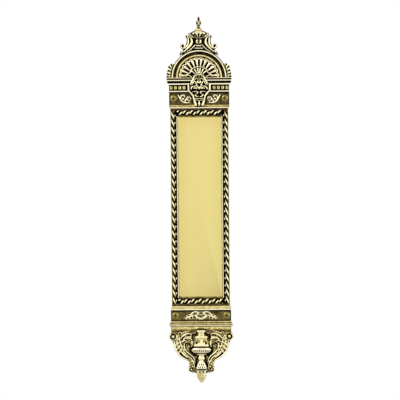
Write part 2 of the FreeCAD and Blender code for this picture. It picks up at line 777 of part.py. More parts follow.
def crest():
    """The crest: on a thin field, a flared foot, a covered urn with a finial, and two S-scrolls."""
    point = drawing(ARCH_RADIUS, 34.7, size("crest_height"), 41.4, ARCH_TOP)
    foot_depth = number(size("crest_foot_depth"))
    step = number(size("crest_step_rise"))
    right = arcs([point(17.0, -2.6), point(9.0, 1.4), point(4.8, 7.6)])
    low = lines([point(17.0, -2.6), point(17.0, -7.0), point(-17.0, -7.0), point(-17.0, -2.6)])
    top = lines([point(-4.8, 7.6), point(4.8, 7.6)])
    shapes = [raised(right + [mirror(edge) for edge in right] + low + top, foot_depth)]
    field_edge = ((23.0, -8.9), (20.4, -1.2), (16.4, 3.6), (13.4, 9.5), (12.6, 14.6), (11.4, 18.4))
    field = polygon_face(
        [point(x, z) for x, z in field_edge] + [point(-x, z) for x, z in reversed(field_edge)]
    )
    shapes.append(field.extrude(FRONT * number(size("crest_field_depth"))))
    for i, (half_width, z_low, z_high) in enumerate(((8.2, -1.5, 1.5), (5.9, 2.0, 4.5)), start=1):
        low_edge = [point(-half_width, z_low), point(half_width, z_low)]
        high_edge = [point(half_width, z_high), point(-half_width, z_high)]
        tread = polygon_face(low_edge + high_edge)
        shapes.append(tread.extrude(FRONT * (foot_depth + i * step)))
    half = number(size("crest_scroll_half_width"))
    depth = number(size("crest_scroll_depth"))
    stem = [
        point(19.2, 1.9),
        point(15.2, 5.0),
        point(13.2, 10.4),
        point(12.6, 14.6),
        point(14.4, 18.6),
        point(16.6, 19.0),
        point(17.2, 16.6),
    ]
    shapes += both_sides(
        [
            stroke(stem, half, depth),
            volute(point(19.0, 5.4), 2.5 * half, -90, 1, half, depth),
            stroke([point(16.2, 3.8), point(12.6, 3.4), point(9.0, 0.6)], half, foot_depth),
            stroke([point(13.4, 16.6), point(11.6, 18.4), point(9.4, 18.8)], half, foot_depth),
        ]
    )
    profile = [
        point(0.5, 41.4),
        point(1.4, 38.6),
        point(1.0, 36.4),
        point(2.9, 35.0),
        point(3.1, 32.6),
        point(1.4, 31.0),
        point(2.4, 29.6),
        point(1.4, 27.6),
        point(2.8, 26.0),
        point(2.8, 24.2),
        point(5.6, 23.6),
        point(10.4, 21.4),
        point(13.0, 20.8),
        point(13.0, 19.4),
        point(10.8, 16.6),
        point(5.4, 14.2),
        point(3.0, 13.2),
        point(3.7, 10.6),
        point(2.6, 7.8),
        point(4.6, 6.8),
        point(4.6, 5.4),
    ]
    urn_depth = number(size("crest_urn_depth"))
    shapes.append(turned_relief(profile, number(size("crest_urn_stilt")), urn_depth))
    return [carved("crest", shapes)]


def pendant():
    """The pendant: a field of scrolls round an urn that ends in a drop."""
    point = drawing(PENDANT_HALF_WIDTH, 40.15, size("pendant_height"), 67.9, PENDANT_TOP)
    half = number(size("pendant_scroll_half_width"))
    depth = number(size("pendant_scroll_depth"))
    edge = [
        point(37.5, -5.6),
        point(40.1, -10.4),
        point(36.0, -14.4),
        point(32.0, -27.6),
        point(22.0, -38.0),
        point(17.0, -41.2),
        point(14.6, -45.8),
        point(16.4, -51.6),
        point(12.0, -55.2),
    ]
    right = arcs(edge) + lines([point(37.5, 0), point(37.5, -5.6)])
    across = lines([point(-37.5, 0), point(37.5, 0)])
    across += lines([point(-12.0, -55.2), point(12.0, -55.2)])
    field_depth = number(size("pendant_field_depth"))
    field = raised(right + [mirror(edge) for edge in right] + across, field_depth)
    over_curl = [point(29.0, -8.6), point(21.0, -5.0), point(13.2, -8.4)]
    urn_stem = [point(21.2, -22.4), point(17.4, -30.0), point(9.8, -37.0)]
    outer_leaf = [point(34.0, -15.4), point(30.6, -26.8), point(21.6, -36.6)]
    inner_leaf = [point(30.0, -12.0), point(26.6, -24.0), point(17.6, -35.4)]
    neck = [point(9.2, -38.0), point(10.6, -44.0), point(10.0, -49.4)]
    paths = (over_curl, urn_stem, outer_leaf, inner_leaf, neck)
    shapes = [stroke(path, half, depth) for path in paths]
    volutes = (
        (35.4, -10.0, 3.2, -90, 1),
        (16.4, -21.0, 4.2, 0, 1),
        (13.0, -51.4, 2.6, 180, 1),
    )
    thickness = half / DRAWN_SCROLL_HALF_WIDTH
    for x, z, radius, start_deg, hand in volutes:
        centre = point(x, z)
        shapes.append(volute(centre, radius * thickness, start_deg, hand, 0.6 * half, depth))
    profile = [
        point(5.7, -2.4),
        point(5.7, -4.6),
        point(3.9, -6.0),
        point(3.9, -8.8),
        point(8.4, -10.0),
        point(8.6, -12.6),
        point(7.4, -13.6),
        point(9.4, -20.8),
        point(9.9, -21.2),
        point(9.9, -22.8),
        point(8.8, -23.4),
        point(12.8, -25.6),
        point(12.2, -29.2),
        point(8.6, -32.0),
        point(5.6, -32.6),
        point(5.6, -33.8),
        point(3.0, -34.8),
        point(4.3, -37.2),
        point(2.6, -40.4),
        point(3.6, -43.4),
        point(6.4, -49.6),
        point(7.9, -50.6),
        point(7.9, -52.6),
        point(6.9, -53.6),
        point(7.2, -56.6),
        point(5.9, -58.0),
        point(5.6, -61.0),
        point(3.8, -65.0),
        point(0.6, -67.9),
    ]
    urn_depth = number(size("pendant_urn_depth"))
    urn = turned_relief(profile, number(size("pendant_urn_stilt")), urn_depth)
    return [carved("pendant", [field] + both_sides(shapes) + [urn])]


def fixing_places():
    """Where the four screws go: a word for each, and expressions for its place."""
    for word, sign in SIDES:
        for level, z in (("upper", FRIEZE_MIDDLE), ("lower", LOWER_FRIEZE_MIDDLE)):
            yield f"{level}_{word}", f"{sign} * {SCREW_X}", z


def fixing_holes():
    """Countersunk clearance holes through the two friezes."""
    holes = []
    hole_radius = "(Sizes.screw_shank_radius + Sizes.hole_clearance)"
    for word, x, z in fixing_places():
        bore = upright(f"bore_{word}", hole_radius, x, "2 * Sizes.frieze_depth", z)
        seat = doc.addObject("Part::Cone", f"countersink_{word}")
        seat.Placement.Rotation = FACING_FRONT
        bind(
            seat,
            Radius1="Sizes.screw_shank_radius + Sizes.seat_clearance",
            Radius2="Sizes.screw_head_radius + Sizes.seat_clearance",
            Height=size("screw_head_cone"),
        )
        place(seat, x=x, depth="Sizes.frieze_depth - Sizes.screw_head_cone", z=z)
        holes += [bore, seat]
    return holes


def finger_plate():
    """The casting: all of its carving in one piece, flat at the back and drilled for screws."""
    pieces = push_panel() + field_and_rope() + courses() + dentils() + arch() + shell() + ears()
    pieces += mask() + console() + frieze_scrolls() + crest() + pendant()
    solid = doc.addObject("Part::MultiFuse", "casting")
    solid.Shapes = pieces
    behind = doc.addObject("Part::Box", "behind_the_back")
    reach = "(2 * Sizes.panel_height)"
    bind(behind, Length=PLATE_WIDTH, Width=size("mask_half_width"), Height=reach)
    place(behind, x=f"-{PLATE_WIDTH} / 2", z=f"-{reach} / 2")
    away = doc.addObject("Part::MultiFuse", "cut_away")
    away.Shapes = fixing_holes() + [behind]
    plate = doc.addObject("Part::Cut", "finger_plate")
    plate.Base = solid
    plate.Tool = away
    return plate


def fixing_screws():
    """The four screws, each a turned form with a cross recess in its head."""
    screws = []
    for word, x, z in fixing_places():
        head = doc.addObject("Part::Cone", f"head_{word}")
        head.Placement.Rotation = FACING_FRONT
        bind(
            head,
            Radius1=size("screw_shank_radius"),
            Radius2=size("screw_head_radius"),
            Height=size("screw_head_cone"),
        )
        place(head, x=x, depth="Sizes.frieze_depth - Sizes.screw_head_cone", z=z)
        squares = "(Sizes.screw_head_radius ^ 2 + Sizes.screw_head_rise ^ 2)"
        dome_radius = f"({squares} / (2 * Sizes.screw_head_rise))"
        dome = doc.addObject("Part::Sphere", f"dome_{word}")
        dome.Placement.Rotation = FACING_FRONT
        bind(
            dome,
            Radius=dome_radius,
            Angle1=f"asin(1 - Sizes.screw_head_rise / {dome_radius})",
        )
        place(dome, x=x, depth=f"Sizes.frieze_depth + Sizes.screw_head_rise - {dome_radius}", z=z)
        shank = upright(
            f"shank_{word}",
            size("screw_shank_radius"),
            x,
            "Sizes.frieze_depth - Sizes.screw_head_cone",
            z,
        )
        core = upright(f"core_{word}", size("screw_core_radius"), x, size("screw_core_length"), z)
        place(core, x=x, depth=f"-{size('screw_core_length')}", z=z)
        tip = doc.addObject("Part::Wedge", f"tip_{word}")
        half = f"Sizes.screw_core_radius * {SQUARE_IN_CIRCLE}"
        bind(
            tip,
            Xmin=f"-{half}",
            Xmax=half,
            X2min="-Sizes.screw_point_radius",
            X2max=size("screw_point_radius"),
            Ymin="0",
            Ymax=size("screw_point_length"),
            Zmin=f"-{half}",
            Zmax=half,
            Z2min="-Sizes.screw_point_radius",
            Z2max=size("screw_point_radius"),
        )
        place(tip, x=x, depth=f"-{size('screw_core_length')}", z=z)
        turned = doc.addObject("Part::MultiFuse", f"turned_{word}")
        turned.Shapes = [head, dome, shank, core, tip]
        slots = []
        for name, long, short in (("across", "length", "width"), ("along", "width", "length")):
            slot = doc.addObject("Part::Box", f"recess_{name}_{word}")
            wide = size(f"recess_{long}")
            tall = size(f"recess_{short}")
            bind(slot, Length=wide, Width="2 * Sizes.recess_depth", Height=tall)
            place(
                slot,
                x=f"{x} - {wide} / 2",
                depth="Sizes.frieze_depth + Sizes.screw_head_rise + Sizes.recess_depth",
                z=f"{z} - {tall} / 2",
            )
            slots.append(slot)
        cross = doc.addObject("Part::MultiFuse", f"recess_{word}")
        cross.Shapes = slots
        screw = doc.addObject("Part::Cut", f"screw_{word}")
        screw.Base = turned
        screw.Tool = cross
        screws.append(screw)
    group = doc.addObject("Part::Compound", "fixing_screws")
    group.Links = screws
    return group


sub_parts = [finger_plate(), fixing_screws()]
doc.recompute()

for thing in doc.Objects:
    if "Invalid" in thing.State or "Error" in thing.State:
        raise RuntimeError(f"{thing.Label} failed: {thing.State}")
os.makedirs("parts", exist_ok=True)
for part in sub_parts:
    if part.Shape.isNull() or not part.Shape.isValid():
        raise RuntimeError(f"{part.Label} has no valid shape")
for part in sub_parts:
    part.Shape.exportStep(f"parts/{part.Label}.step")
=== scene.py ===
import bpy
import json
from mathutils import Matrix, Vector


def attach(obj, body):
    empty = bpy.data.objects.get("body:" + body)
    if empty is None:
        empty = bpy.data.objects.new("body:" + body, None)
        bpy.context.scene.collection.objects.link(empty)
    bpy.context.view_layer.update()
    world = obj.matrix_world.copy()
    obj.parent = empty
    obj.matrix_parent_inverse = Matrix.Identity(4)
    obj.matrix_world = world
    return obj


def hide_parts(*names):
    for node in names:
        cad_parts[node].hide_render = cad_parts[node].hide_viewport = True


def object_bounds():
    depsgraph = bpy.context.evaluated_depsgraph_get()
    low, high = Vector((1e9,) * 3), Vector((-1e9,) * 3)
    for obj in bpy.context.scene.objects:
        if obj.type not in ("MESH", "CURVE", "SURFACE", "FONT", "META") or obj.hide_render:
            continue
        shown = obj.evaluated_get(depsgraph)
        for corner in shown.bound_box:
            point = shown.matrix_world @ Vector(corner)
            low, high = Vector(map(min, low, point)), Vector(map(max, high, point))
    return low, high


bl_info = {
    "name": "Door finger plate",
    "version": (1, 0, 0),
    "blender": (4, 5, 0),
    "location": "View3D > Sidebar > Finger plate",
    "description": "Carved brass finger plate with a rope border, and the screws that hold it",
    "category": "Object",
}

import json
import math

import bmesh
import bpy
import numpy as np
from bpy.props import FloatProperty, FloatVectorProperty, IntProperty, PointerProperty
from mathutils import Vector

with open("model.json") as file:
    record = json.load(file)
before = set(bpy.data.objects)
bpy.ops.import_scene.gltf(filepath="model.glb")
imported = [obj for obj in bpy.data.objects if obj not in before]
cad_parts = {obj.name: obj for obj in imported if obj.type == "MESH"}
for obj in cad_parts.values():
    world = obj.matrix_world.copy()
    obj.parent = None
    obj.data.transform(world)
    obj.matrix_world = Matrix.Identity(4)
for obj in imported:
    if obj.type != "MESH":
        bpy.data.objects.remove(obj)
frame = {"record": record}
CAD_LOW, CAD_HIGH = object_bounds()

# Shapes are drawn in millimetres: x across the plate, z up it, and depth in front of the flat back.
MM = 0.001
BODY = "root"
FORWARD = (0, -1, 0)
PLATE_NODE = "finger_plate"
SCREW_NODE = "fixing_screws"
MOUNTS = {mount["name"]: mount for mount in frame["record"]["mounts"]}
SCREW_SPACING = MOUNTS["screw_pattern"]["dims"]

# Driving dimensions of the plate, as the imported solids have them
FIELD_HALF_WIDTH = 36.25
FIELD_HALF_HEIGHT = 120.5
FIELD_DEPTH = 3.5
FRIEZE_HALF_WIDTH = 37.5
FRIEZE_DEPTH = 5.0
CORNICE_HALF_WIDTH = 38.75
CORONA_HALF_WIDTH = 40.6
BASE_CORONA_HALF_WIDTH = 39.7
ARCH_LOW = 161.35
ARCH_RADIUS = 34.7
ARCH_FIELD_DEPTH = 5.0
# The carvings' backs lie a little in front of the mouldings' back, which they overlap
CARVING_BACK = 0.1
# How far raised work goes into the field that it stands on
ROOT = 0.3
DEEP_ROOT = 0.4
BACK_WEAR = 0.3
CARVING_BACK_WEAR = 0.35
SHARP_ANGLE = math.radians(40)


def linear(hex_colour):
    """An sRGB hex colour as linear red, green and blue."""
    channels = [int(hex_colour[i : i + 2], 16) / 255 for i in (1, 3, 5)]
    return tuple(c / 12.92 if c <= 0.04045 else ((c + 0.055) / 1.055) ** 2.4 for c in channels)


def length_property(name, description, millimetres):
    return FloatProperty(
        name=name, description=description, default=millimetres * MM, unit="LENGTH", precision=5
    )


def colour_property(name, description, hex_colour):
    return FloatVectorProperty(
        name=name, description=description, default=linear(hex_colour), subtype="COLOR", size=3
    )


class PlateSizes(bpy.types.PropertyGroup):
    """Sizes of the plate's repeated and fine work."""

    carving_cell: length_property("Carving cell", "Fineness of the carved surface", 0.24)
    panel_width: length_property("Panel width", "Width of the plain push panel", 54.4)
    panel_height: length_property("Panel height", "Height of the plain push panel", 225.0)
    panel_corner: length_property("Panel corner", "Corner radius of the push panel", 2.0)
    rope_side_period: length_property("Side rope turn", "Length of a turn of the side rope", 18.5)
    rope_end_period: length_property("End rope turn", "Length of a turn of the end rope", 8.7)
    rope_side_sway: length_property("Side rope sway", "How far its strands swing across", 1.4)
    rope_end_sway: length_property("End rope sway", "How far its strands swing across", 1.8)
    rope_stagger: length_property("End rope stagger", "How far a strand lies aside", 0.85)
    rope_swing: length_property("Rope swing", "How far a strand swings in and out", 1.0)
    rope_strand: length_property("Rope strand", "Radius of a strand of the rope", 1.0)
    dentil_pitch: length_property("Dentil pitch", "Distance between dentils", 5.4)
    dentil_inset: length_property("Dentil inset", "First dentil from the frieze's end", 2.6)
    rib_root: length_property("Rib root", "Where a shell rib starts, from the arch's centre", 14.4)
    rib_tip: length_property("Rib tip", "Where a shell rib ends, from the arch's centre", 23.9)
    thread_pitch: length_property("Thread pitch", "Pitch of the screws' thread", 1.9)
    dentil_count: IntProperty(
        name="Dentils", description="Dentils on each side of the console", default=4, min=1
    )
    rib_count: IntProperty(name="Shell ribs", description="Ribs in the shell", default=12, min=2)
    rib_step: FloatProperty(
        name="Rib step",
        description="Angle between two shell ribs",
        default=math.radians(15.0),
        subtype="ANGLE",
    )


class PlateColours(bpy.types.PropertyGroup):
    """Colours of the finishes."""

    panel_light: colour_property("Panel", "Satin brass of the push panel", "#EBDB8F")
    panel_deep: colour_property("Panel, deeper", "Where the satin brass is duller", "#E2CF82")
    # The ridges' colour is paler than brass: polish, with a painted highlight on top
    ridge: colour_property("Ridges", "Brass polished by touch on the ridges", "#FFF8D2")
    brass: colour_property("Brass", "Brass on the slopes of the carving", "#DECA79")
    tarnish: colour_property("Tarnish", "Tarnished brass low on the carving", "#7D7046")
    patina: colour_property("Patina", "Brown patina of the sunk fields", "#45391F")
    recess: colour_property("Recesses", "Patina that fills the deepest cuts", "#0B0804")
    screw: colour_property("Screws", "Dulled brass of the screws", "#A4914F")
    floor: colour_property("Floor", "Pale floor under the plate", "#F1F0EC")


def add_node(tree, kind, inputs=None, **settings):
    """Adds a node with its settings. Inputs, by name or number, are values, sockets to link from, or
    nodes whose first output is linked."""
    node = tree.nodes.new(kind)
    for name, value in settings.items():
        setattr(node, name, value)
    for socket, value in (inputs or {}).items():
        source = value.outputs[0] if isinstance(value, bpy.types.Node) else value
        if isinstance(source, bpy.types.NodeSocket):
            tree.links.new(source, node.inputs[socket])
        else:
            node.inputs[socket].default_value = source
    return node


def new_material(name):
    """A material with its tree, which holds only the place of each point, in the object's own space."""
    material = bpy.data.materials.new(name)
    material.use_nodes = True
    tree = material.node_tree
    tree.nodes.clear()
    return material, tree, add_node(tree, "ShaderNodeTexCoord").outputs["Object"]


def end_material(tree, colour, roughness, **inputs):
    """Ends a material with its surface. Further inputs of the surface are given by name."""
    shared = {"Base Color": colour, "Roughness": roughness}
    surface = add_node(tree, "ShaderNodeBsdfPrincipled", {**shared, **inputs})
    add_node(tree, "ShaderNodeOutputMaterial", {"Surface": surface})


def ramp_colours(node, stops):
    """Sets the stops of a colour ramp: pairs of place and colour."""
    elements = node.color_ramp.elements
    while len(elements) < len(stops):
        elements.new(1.0)
    for element, (place, colour) in zip(elements, stops):
        element.position = place
        element.color = (*colour, 1.0)


def cast_antique_brass(colours):
    """Cast brass, darkened and then polished back: pale gold ridges, lifted near white by a painted
    highlight, brown slopes, and patina that stays nearly black in the deep cuts. The wear attribute says
    how high a place stands; painted shade is laid in it too."""
    material, tree, coordinates = new_material("cast_antique_brass")
    wear = add_node(tree, "ShaderNodeAttribute", attribute_name="wear").outputs["Fac"]
    mottle = 0.0
    # Blotches about 5 mm across, then the grain of the cast skin, drawn at 0.9 mm so that it shows
    for size, detail, most in ((5 * MM, 3.0, 0.1), (0.9 * MM, 2.0, 0.05)):
        grain = add_node(
            tree, "ShaderNodeTexNoise", {"Vector": coordinates, "Scale": 1 / size, "Detail": detail}
        )
        uneven = add_node(
            tree,
            "ShaderNodeMapRange",
            {"Value": grain, "From Min": 0.3, "From Max": 0.7, "To Min": -most, "To Max": most},
        )
        mottle = add_node(tree, "ShaderNodeMath", {0: mottle, 1: uneven}, operation="ADD")
    worn = add_node(tree, "ShaderNodeMath", {0: wear, 1: mottle}, operation="ADD", use_clamp=True)
    finish = add_node(tree, "ShaderNodeValToRGB", {"Fac": worn})
    dark = ((0.12, colours.recess), (0.28, colours.patina), (0.46, colours.tarnish))
    # The near-white ridge colour is polished brass with a painted highlight
    ramp_colours(finish, dark + ((0.67, colours.brass), (0.88, colours.ridge)))
    roughness = add_node(tree, "ShaderNodeMapRange", {"Value": worn, "To Min": 0.5, "To Max": 0.22})
    # The grain, which comes last, also roughens the skin
    skin = add_node(tree, "ShaderNodeBump", {"Height": grain, "Strength": 0.25, "Distance": 0.06 * MM})
    end_material(tree, finish, roughness, Normal=skin, Metallic=1.0)
    return material


def satin_brass(colours):
    """Sheet-smooth brass, rubbed up and down: a soft pale gold with fine upright lines and a few
    duller clouds where hands have been."""
    material, tree, coordinates = new_material("satin_brass")
    clouds = add_node(
        tree, "ShaderNodeTexNoise", {"Vector": coordinates, "Scale": 1 / (45 * MM), "Detail": 2.0}
    )
    # Rubbing lines 0.5 mm apart and about 40 mm long
    scale = (1 / (0.5 * MM), 1 / (0.5 * MM), 1 / (40 * MM))
    lines = add_node(tree, "ShaderNodeMapping", {"Vector": coordinates, "Scale": scale})
    rubbed = add_node(tree, "ShaderNodeTexNoise", {"Vector": lines, "Scale": 1.0, "Detail": 2.0})
    # The panel is duller over the last two centimetres at its sides and ends than in the middle
    place = add_node(tree, "ShaderNodeSeparateXYZ", {"Vector": coordinates})
    dullness = add_node(tree, "ShaderNodeMath", {0: clouds, 1: 0.5}, operation="MULTIPLY")
    for axis, start, end in (("X", 14 * MM, 29 * MM), ("Z", 96 * MM, 116 * MM)):
        aside = add_node(tree, "ShaderNodeMath", {0: place.outputs[axis]}, operation="ABSOLUTE")
        near_edge = add_node(
            tree, "ShaderNodeMapRange", {"Value": aside, "From Min": start, "From Max": end, "To Max": 0.6}
        )
        dullness = add_node(tree, "ShaderNodeMath", {0: dullness, 1: near_edge}, operation="ADD")
    tone = add_node(tree, "ShaderNodeValToRGB", {"Fac": dullness})
    ramp_colours(tone, ((0.15, colours.panel_light), (0.9, colours.panel_deep)))
    roughness = add_node(tree, "ShaderNodeMapRange", {"Value": rubbed, "To Min": 0.24, "To Max": 0.38})
    end_material(tree, tone, roughness, Metallic=1.0)
    return material


def turned_brass(colours):
    """Turned brass of the screws: dulled, with tarnish low in the recess and the thread."""
    material, tree, coordinates = new_material("turned_brass")
    wear = add_node(tree, "ShaderNodeAttribute", attribute_name="wear").outputs["Fac"]
    dulled = add_node(
        tree, "ShaderNodeTexNoise", {"Vector": coordinates, "Scale": 1 / (1.2 * MM), "Detail": 2.0}
    )
    finish = add_node(tree, "ShaderNodeValToRGB", {"Fac": wear})
    ramp_colours(finish, ((0.1, colours.recess), (0.5, colours.tarnish), (0.9, colours.screw)))
    roughness = add_node(tree, "ShaderNodeMapRange", {"Value": dulled, "To Min": 0.28, "To Max": 0.45})
    end_material(tree, finish, roughness, Metallic=1.0)
    return material


def painted_board(colours):
    """Matt painted board: pale and even, with a slight mottle, bright enough to meet the white."""
    material, tree, coordinates = new_material("painted_board")
    mottle = add_node(
        tree, "ShaderNodeTexNoise", {"Vector": coordinates, "Scale": 1 / (60 * MM), "Detail": 3.0}
    )
    roughness = add_node(tree, "ShaderNodeMapRange", {"Value": mottle, "To Min": 0.7, "To Max": 0.9})
    end_material(tree, (*colours.floor, 1.0), roughness)
    return material


FINISHES = {
    finish.__name__: finish for finish in (cast_antique_brass, satin_brass, turned_brass, painted_board)
}


def finish_named(name):
    """A material by name, made the first time that it is asked for."""
    found = bpy.data.materials.get(name)
    return found or FINISHES[name](bpy.context.scene.plate_colours)


def in_mm(value):
    return value / MM


def curve_through(points, steps=8):
    """A smooth path through points, with an even number of steps between each two."""
    knots = np.asarray(points, float)
    padded = np.vstack([2 * knots[0] - knots[1], knots, 2 * knots[-1] - knots[-2]])
    share = np.linspace(0, 1, steps, endpoint=False)[:, None]
    path = []
    for before, start, end, after in zip(padded, padded[1:], padded[2:], padded[3:]):
        bend = 2 * start + share * (end - before)
        bend = bend + share**2 * (2 * before - 5 * start + 4 * end - after)
        path.append((bend + share**3 * (3 * start - before - 3 * end + after)) / 2)
    return np.vstack(path + [knots[-1:]])


def spiral(x, z, radius, start_deg, turns, hand=1, eye_share=0.3, steps=28):
    """A path that winds in to an eye. Hand is 1 for a turn to the left, -1 to the right."""
    share = np.linspace(0, 1, max(6, round(steps * turns)))
    angle = math.radians(start_deg) + hand * 2 * math.pi * turns * share
    reach = radius * (1 - (1 - eye_share) * share)
    return np.column_stack([x + reach * np.cos(angle), z + reach * np.sin(angle)])


def arc(x, z, radius, start_deg, end_deg, steps=24):
    """A path along a circle."""
    angle = np.radians(np.linspace(start_deg, end_deg, steps))
    return np.column_stack([x + radius * np.cos(angle), z + radius * np.sin(angle)])


def nearest_on_path(across, up, path):
    """The distance of each place to a path, and how far along the path its nearest point is."""
    runs = np.diff(path, axis=0)
    lengths = np.maximum(np.hypot(runs[:, 0], runs[:, 1]), 1e-9)
    starts = np.concatenate([[0], np.cumsum(lengths)])
    nearest = np.full(across.shape, np.inf)
    along = np.zeros(across.shape)
    for i, (run, length) in enumerate(zip(runs, lengths)):
        dx = across - path[i, 0]
        dz = up - path[i, 1]
        share = np.clip((dx * run[0] + dz * run[1]) / length**2, 0, 1)
        distance = np.hypot(dx - share * run[0], dz - share * run[1])
        closer = distance < nearest
        nearest[closer] = distance[closer]
        along[closer] = (starts[i] + share[closer] * length) / starts[-1]
    return nearest, along


# Cross sections of raised work: the height, as a share, at a share of the half width
def round_section(share):
    return np.sqrt(np.clip(1 - share**2, 0, 1))


def flat_section(share):
    return np.clip((1 - share) / 0.35, 0, 1) ** 0.6


def blurred(values, weights, cells):
    """Values averaged over a square of cells three times over, where weights count them."""
    def averaged(grid):
        for axis in (0, 1):
            padding = [(0, 0), (0, 0)]
            padding[axis] = (cells + 1, cells)
            sums = np.cumsum(np.pad(grid, padding, mode="edge"), axis=axis)
            span = 2 * cells + 1
            grid = np.take(sums, range(span, sums.shape[axis]), axis) - np.take(
                sums, range(0, sums.shape[axis] - span), axis
            )
            grid = grid / span
        return grid

    top = values * weights
    bottom = weights
    for _ in range(3):
        top = averaged(top)
        bottom = averaged(bottom)
    return top / np.maximum(bottom, 1e-6)


NOWHERE = 99.0
GROUND_WEAR = 0.03
RISE_TO_POLISH = 1.5
SINK_TO_PATINA = 1.8
# How far round a place it is compared with its surroundings, and with what weight
WEAR_REACHES = ((0.9, 0.65), (2.6, 0.35))


class Relief:
    """Carving in low relief, alike on both sides of the axis. It is held on a fine grid over the right
    half: the depth in front of the back, and the distance to the carving's edge, below zero inside."""

    def __init__(self, half_width, z_low, z_high):
        self.cell = in_mm(bpy.context.scene.plate_sizes.carving_cell)
        columns = math.ceil(half_width / self.cell) + 4
        rows = math.ceil((z_high - z_low) / self.cell) + 8
        x = np.arange(columns) * self.cell
        z = z_low + (np.arange(rows) - 4) * self.cell
        self.across, self.up = np.meshgrid(x, z)
        self.depth = np.zeros(self.across.shape)
        self.skirt = np.zeros(self.across.shape)
        self.edge = np.full(self.across.shape, NOWHERE)
        # Darkening laid on the carving: patina in cuts and pits, and painted shade where darken lays it
        self.patina = np.zeros(self.across.shape)

    def window(self, path, reach):
        """The part of the grid within reach of a path."""
        low = path.min(axis=0) - reach
        high = path.max(axis=0) + reach
        columns = np.nonzero((self.across[0] >= low[0]) & (self.across[0] <= high[0]))[0]
        rows = np.nonzero((self.up[:, 0] >= low[1]) & (self.up[:, 0] <= high[1]))[0]
        if not len(columns) or not len(rows):
            raise ValueError("this form lies outside its carving")
        return np.s_[rows[0] : rows[-1] + 1, columns[0] : columns[-1] + 1]

    def lay(self, window, top, edge, base):
        """Adds a form: the higher of two forms stands, and the edge runs round both."""
        inside = edge <= 0
        depth = self.depth[window]
        depth[inside] = np.maximum(depth, top)[inside]
        near = edge < 3 * self.cell
        skirt = self.skirt[window]
        skirt[near] = np.maximum(skirt, base)[near]
        np.minimum(self.edge[window], edge, out=self.edge[window])

    def along(self, path, half_width):
        """The window of a path, with the distance and the half width at each of its places."""
        widths = np.atleast_1d(half_width)
        window = self.window(path, widths.max() + 4 * self.cell)
        distance, share = nearest_on_path(self.across[window], self.up[window], path)
        return window, distance, np.interp(share, np.linspace(0, 1, len(widths)), widths)

    def band(self, path, half_width, base, crown, section=round_section):
        """A raised band along a path. Half widths, where several, are spread along it."""
        window, distance, reach = self.along(np.asarray(path), half_width)
        top = base + crown * section(np.clip(distance / reach, 0, 1))
        self.lay(window, top, distance - reach, base)

    def bands(self, rows, base):
        """Raised bands on smooth paths: triples of points, half width or half widths, and rise."""
        for points, half_width, rise in rows:
            self.band(curve_through(points), half_width, base, rise)

    def leaf(self, points, half_width, base, crown):
        """A pointed leaf with a sunk vein, from its root to its tip."""
        path = curve_through(points)
        self.band(path, (0.45 * half_width, half_width, 0.75 * half_width, 0.15), base, crown)
        self.emboss(path, 0.3 * half_width, -0.25 * crown)

    def dome(self, x, z, half_width, half_height, base, crown, section=round_section):
        reach = max(half_width, half_height)
        window = self.window(np.array([(x, z)]), reach + 4 * self.cell)
        dx = (self.across[window] - x) / half_width
        dz = (self.up[window] - z) / half_height
        share = np.hypot(dx, dz)
        top = base + crown * section(np.clip(share, 0, 1))
        self.lay(window, top, (share - 1) * min(half_width, half_height), base)

    def field(self, outline, depth, to_axis=True):
        """A flat field inside an outline of the right half, from the axis round to the axis or closed."""
        path = np.asarray(outline, float)
        closed = np.vstack([path, path[:1]])
        if to_axis:
            closed = np.vstack([path, [(-9.0, path[-1, 1]), (-9.0, path[0, 1])]])
        distance, _ = nearest_on_path(self.across, self.up, path if to_axis else closed)
        inside = np.zeros(self.across.shape, bool)
        for (x1, z1), (x2, z2) in zip(closed, np.roll(closed, -1, axis=0)):
            if z1 == z2:
                continue
            spans = (self.up > min(z1, z2)) & (self.up <= max(z1, z2))
            crossing = x1 + (self.up - z1) * (x2 - x1) / (z2 - z1)
            inside ^= spans & (self.across < crossing)
        everywhere = np.s_[:, :]
        edge = np.where(inside, -distance, distance)
        self.lay(everywhere, np.full(self.across.shape, depth), edge, depth)

    def turned(self, profile, stilt, depth):
        """A turned form in half relief. The profile is pairs of height and radius, from the top down."""
        heights, radii = np.array(profile[::-1], float).T
        flatten = (depth - stilt) / radii.max()
        radius = np.interp(self.up, heights, radii)
        within = (self.up >= heights[0]) & (self.up <= heights[-1])
        share = np.clip(self.across / radius, 0, 1)
        top = stilt + flatten * radius * round_section(share)
        edge = np.where(within, self.across - radius, NOWHERE)
        near_end = np.minimum(self.up - heights[0], heights[-1] - self.up)
        edge = np.where(within, np.maximum(edge, -near_end), edge)
        self.lay(np.s_[:, :], top, edge, stilt)

    def emboss(self, path, half_width, rise):
        """Raises or, with a rise below zero, cuts what is already there along a path."""
        window, distance, reach = self.along(np.asarray(path), half_width)
        shape = np.clip(1 - (distance / reach) ** 2, 0, 1)
        self.depth[window] += rise * shape
        self.patina[window] += max(0, -rise) / SINK_TO_PATINA * shape

    def pit(self, x, z, half_width, half_height, sink):
        """A small rounded hollow, or a boss where sink is below zero."""
        window = self.window(np.array([(x, z)]), max(half_width, half_height) + self.cell)
        dx = (self.across[window] - x) / half_width
        dz = (self.up[window] - z) / half_height
        shape = np.clip(1 - dx**2 - dz**2, 0, 1)
        self.depth[window] -= sink * shape
        self.patina[window] += max(0, sink) / SINK_TO_PATINA * shape

    def pits(self, rows):
        """Rows of like pits: half width, half height, sink and places."""
        for half_width, half_height, sink, places in rows:
            for x, z in places:
                self.pit(x, z, half_width, half_height, sink)

    def darken(self, path, half_width, amount):
        """Darkens along a path, with patina at some places and painted shade at others, or with an amount
        below zero, lightens it.
        """
        window, distance, reach = self.along(np.asarray(path), half_width)
        self.patina[window] += amount * np.clip(1 - (distance / reach) ** 2, 0, 1)

    def darken_gaps(self, rows):
        """Lays deep patina, and at some places painted shade, on smooth paths: pairs of points and half
        width.
        """
        for points, half_width in rows:
            self.darken(curve_through(points), half_width, 0.9)

